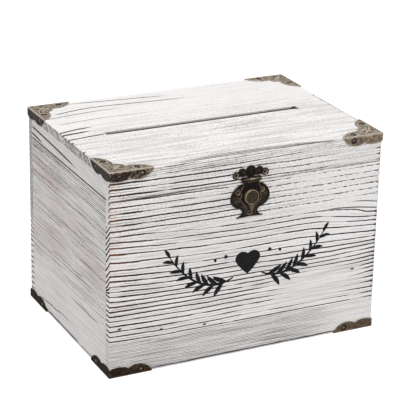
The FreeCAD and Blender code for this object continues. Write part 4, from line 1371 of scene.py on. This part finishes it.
def painted_ornament(material):
    """All strokes and their mirror images as one piece, each a little prouder than the one before."""
    points, faces, total = [], [], 0
    for number, (path, wide) in enumerate(ornament_strokes()):
        grid = stroke_grid(path, wide)
        for way in (1, -1):
            proud = PAINT_PROUD + PAINT_LAYER * (2 * number + (way < 0))
            made, quads = coat(grid * np.array([way, 1]), proud)
            points.append(made)
            faces += (quads[:, ::way] + total).tolist()
            total += len(made)
    mesh = closed_mesh("painted_ornament", np.concatenate(points), faces)
    mesh.materials.append(material)
    add_piece("painted_ornament", mesh, "box")


def paint_material(name):
    """Black paint, thin in places along the grain below it."""
    finish = Finish(name)
    streak = finish.noise(stretched(EVEN, LONG, 60.0), 0.9, 4.0, 4.0)
    colour = blend(streak.ranged(0.60, 0.74, 0.0, 0.4), PAINT_BLACK, PAINT_THIN)
    return finish.done(colour, streak.ranged(0.3, 0.7, 0.5, 0.7), PAINT_GLOSS, streak, FINE_BUMP)


# Scene: camera, light, floor


def set_camera():
    data = bpy.data.cameras.new("camera")
    data.sensor_fit = "HORIZONTAL"
    data.sensor_width = SENSOR
    data.lens = FOCAL_PIXELS / IMAGE_PIXELS * SENSOR
    data.clip_end = 50
    place = Matrix.Translation(Vector(CAMERA_AT) * MM)
    for degrees, axis in ((-CAMERA_YAW, "Z"), (90 + CAMERA_PITCH, "X"), (CAMERA_ROLL, "Z")):
        place = place @ Matrix.Rotation(math.radians(degrees), 4, axis)
    camera = add_object("camera", data)
    camera.matrix_world = place
    bpy.context.scene.camera = camera


def add_area_light(name, towards, distance, size, watts):
    data = bpy.data.lights.new(name, "AREA")
    data.shape = "DISK"
    data.size = size
    data.energy = watts
    lamp = add_object(name, data)
    way = Vector(towards).normalized()
    lamp.matrix_world = Matrix.Translation(way * distance) @ way.to_track_quat("Z", "Y").to_matrix().to_4x4()


def seen_directly(tree):
    """1 for rays from the camera and for those mirrored or bent on their way, else 0."""
    path = tree.nodes.new("ShaderNodeLightPath")
    kinds = ("Is Camera Ray", "Is Glossy Ray", "Is Transmission Ray")
    camera, glossy, bent = (Value(tree, path.outputs[kind]) for kind in kinds)
    return ((camera + glossy).clamped() + bent).clamped()


def set_world():
    world = bpy.data.worlds.new("studio")
    bpy.context.scene.world = world
    world.use_nodes = True
    tree = world.node_tree
    background = tree.nodes["Background"]
    background.inputs["Color"].default_value = (1, 1, 1, 1)
    put(tree, seen_directly(tree).ranged(0.0, 1.0, AMBIENT, 1.0), background.inputs["Strength"])


def add_floor():
    mesh = bpy.data.meshes.new("floor")
    corners = np.array([(-1, -1, 0), (1, -1, 0), (1, 1, 0), (-1, 1, 0)]) * FLOOR_HALF_METRES
    mesh.from_pydata(corners.tolist(), [], [(0, 1, 2, 3)])
    finish = Finish("pale_floor")
    finish.set("Base Color", (0.9, 0.9, 0.9, 1))
    finish.set("Roughness", 0.9)
    finish.set("Specular IOR Level", 0.0)
    finish.set("Emission Color", (1, 1, 1, 1))
    finish.set("Emission Strength", seen_directly(finish.tree) * FLOOR_GLOW)
    mesh.materials.append(finish.material)
    add_object("floor", mesh)


bpy.context.scene.view_settings.view_transform = "Standard"
set_camera()
set_world()
add_floor()
for lamp in LAMPS:
    add_area_light(*lamp)

# The boards
bare_long, bare_side = inside_material("bare_wood_long", LONG), inside_material("bare_wood_side", DEEP)
LONG_WOOD = (wood_material("whitewashed_wood_long", LONG), bare_long)
SIDE_WOOD = (wood_material("whitewashed_wood_side", DEEP), bare_side)
TOP_WOOD = (wood_material("whitewashed_wood_top", LONG, TOP_STREAKS, LIT_TOP_WHITE), bare_long)
ALL_EASED = ("start", "end", "low", "high")
RAIL_EASED = ("start", "end", "low")
SIDE_EASED = ("low", "high")
SIDE_RAIL_EASED = ("low",)
FRONT_LOOK, BACK_LOOK = (front_lines, front_look), (back_lines, back_look)
LEFT_LOOK, RIGHT_LOOK = (left_lines, left_look), (right_lines, right_look)
# each wall's side, the axes of its grain and its face, which way it faces, and its look and wood
WALLS = (
    ("front", LONG, DEEP, -1, FRONT_LOOK, LONG_WOOD),
    ("back", LONG, DEEP, 1, BACK_LOOK, LONG_WOOD),
    ("left", DEEP, LONG, -1, LEFT_LOOK, SIDE_WOOD),
    ("right", DEEP, LONG, 1, RIGHT_LOOK, SIDE_WOOD),
)
for side, grain, axis, way, look, woods in WALLS:
    eased = ALL_EASED if grain == LONG else SIDE_EASED
    board_piece(side + "_panel", "box", grain, axis, way, eased, look, woods, REBATE_DEPTH)
for side, grain, axis, way, look, woods in WALLS:
    eased = RAIL_EASED if grain == LONG else SIDE_RAIL_EASED
    board_piece(f"lid_{side}_rail", "lid", grain, axis, way, eased, look, woods)
board_piece("lid_top_panel", "lid", LONG, UP, 1, ALL_EASED, (top_lines, top_look), TOP_WOOD, slot=True)

# The metal
bronze = metal_material(
    "antique_bronze_cast", BRONZE_DARK, BRONZE_LIGHT, BRONZE_OLIVE, specular=0.03, relief=0.75,
    mottle_share=1.5, grit_size=0.7, grit_share=1.1,
)
foot_bronze = metal_material(
    "antique_bronze_foot", FOOT_DARK, FOOT_LIGHT, metallic=(0.0, 0.6), specular=0.008
)
hasp_bronze = metal_material(
    "antique_bronze_hasp", HASP_DARK, HASP_LIGHT, polished=HASP_POLISH_AND_GLINT, specular=0.03, relief=0.6
)
brass = metal_material("rubbed_brass", BRASS_DARK, BRASS_LIGHT)
dark_metal = metal_material("dark_bronze", HASP_DARK, HASP_LIGHT, worn=False, start=0.3)
nail_metal = metal_material("bright_nail", NAIL_DARK, NAIL_LIGHT, worn=False, metallic=(0.3, 0.8), start=0.35)
steel = metal_material("plain_steel", STEEL_DARK, STEEL_LIGHT, worn=False, metallic=(0.6, 0.95), start=0.6)
# how light each bracket is, partly rubbed wear and partly painted light and shade: its large face, its front
# or back flange, its side flange, and how much more the tip of its front or back flange is rubbed
RUB_AND_LIGHT = {
    "lid_corner_front_left": (0.67, -0.02, -0.4, 0.2),
    "lid_corner_front_right": (0.67, 0.42, 0.34, -0.14),
    "lid_corner_back_left": (0.69, 0.2, -0.35, 0.1),
    "lid_corner_back_right": (0.69, 0.2, 0.2, 0.1),
    "base_corner_front_left": (0.2, -0.02, -0.4, 0.1),
    "base_corner_front_right": (0.2, 0.32, 0.2, 0.06),
    "base_corner_back_left": (0.2, 0.1, -0.35, 0.1),
    "base_corner_back_right": (0.2, 0.2, 0.2, 0.1),
}
for node, rubbed in RUB_AND_LIGHT.items():
    body, finish = ("lid", bronze) if node.startswith("lid") else ("box", foot_bronze)
    cast_piece(node, body, "antique_bronze", finish, BRACKET_VOXEL, bracket_ornament, node, rubbed)
# the hasp's pieces, with their bodies, slots, finishes and ornament, and how far they are rubbed
HASP_PIECES = (
    ("hasp_lid_plate", "lid", "antique_bronze", hasp_bronze, lid_plate_ornament, -0.06),
    ("hasp_body_plate", "box", "antique_bronze", hasp_bronze, body_plate_ornament, -0.06),
    ("hasp_flap", "flap", "antique_bronze", hasp_bronze, flap_ornament, -0.05),
    ("hasp_button", "flap", "rubbed_brass", brass, button_ornament, 0.0),
)
for node, body, slot, finish, ornament, rubbed in HASP_PIECES:
    cast_piece(node, body, slot, finish, HASP_VOXEL, ornament, rubbed)
HINGE_RUBBED = 0.2
for side in ("left", "right"):
    for leaf, body in (("body", "box"), ("lid", "lid")):
        node = f"hinge_{side}_{leaf}_leaf"
        cast_piece(node, body, "antique_bronze", bronze, LEAF_VOXEL, leaf_ornament, HINGE_RUBBED)

# Finishes of the CAD pieces that stay as they are
CAD_FINISHES = (
    (bare_long, ("base_panel",)),
    (nail_metal, ("base_corner_nails", "lid_corner_nails")),
    (dark_metal, ("hasp_body_nails", "hasp_lid_nails", "hasp_catch_peg", "hasp_pin")),
    (dark_metal, ("hinge_left_pin", "hinge_right_pin", "hinge_body_nails", "hinge_lid_nails")),
    (steel, ("wall_brads", "base_brads", "lid_rail_brads", "lid_top_brads")),
)
for finish, nodes in CAD_FINISHES:
    for node in nodes:
        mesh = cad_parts[node].data
        mesh.materials.clear()
        mesh.materials.append(finish)

painted_ornament(paint_material("black_paint"))
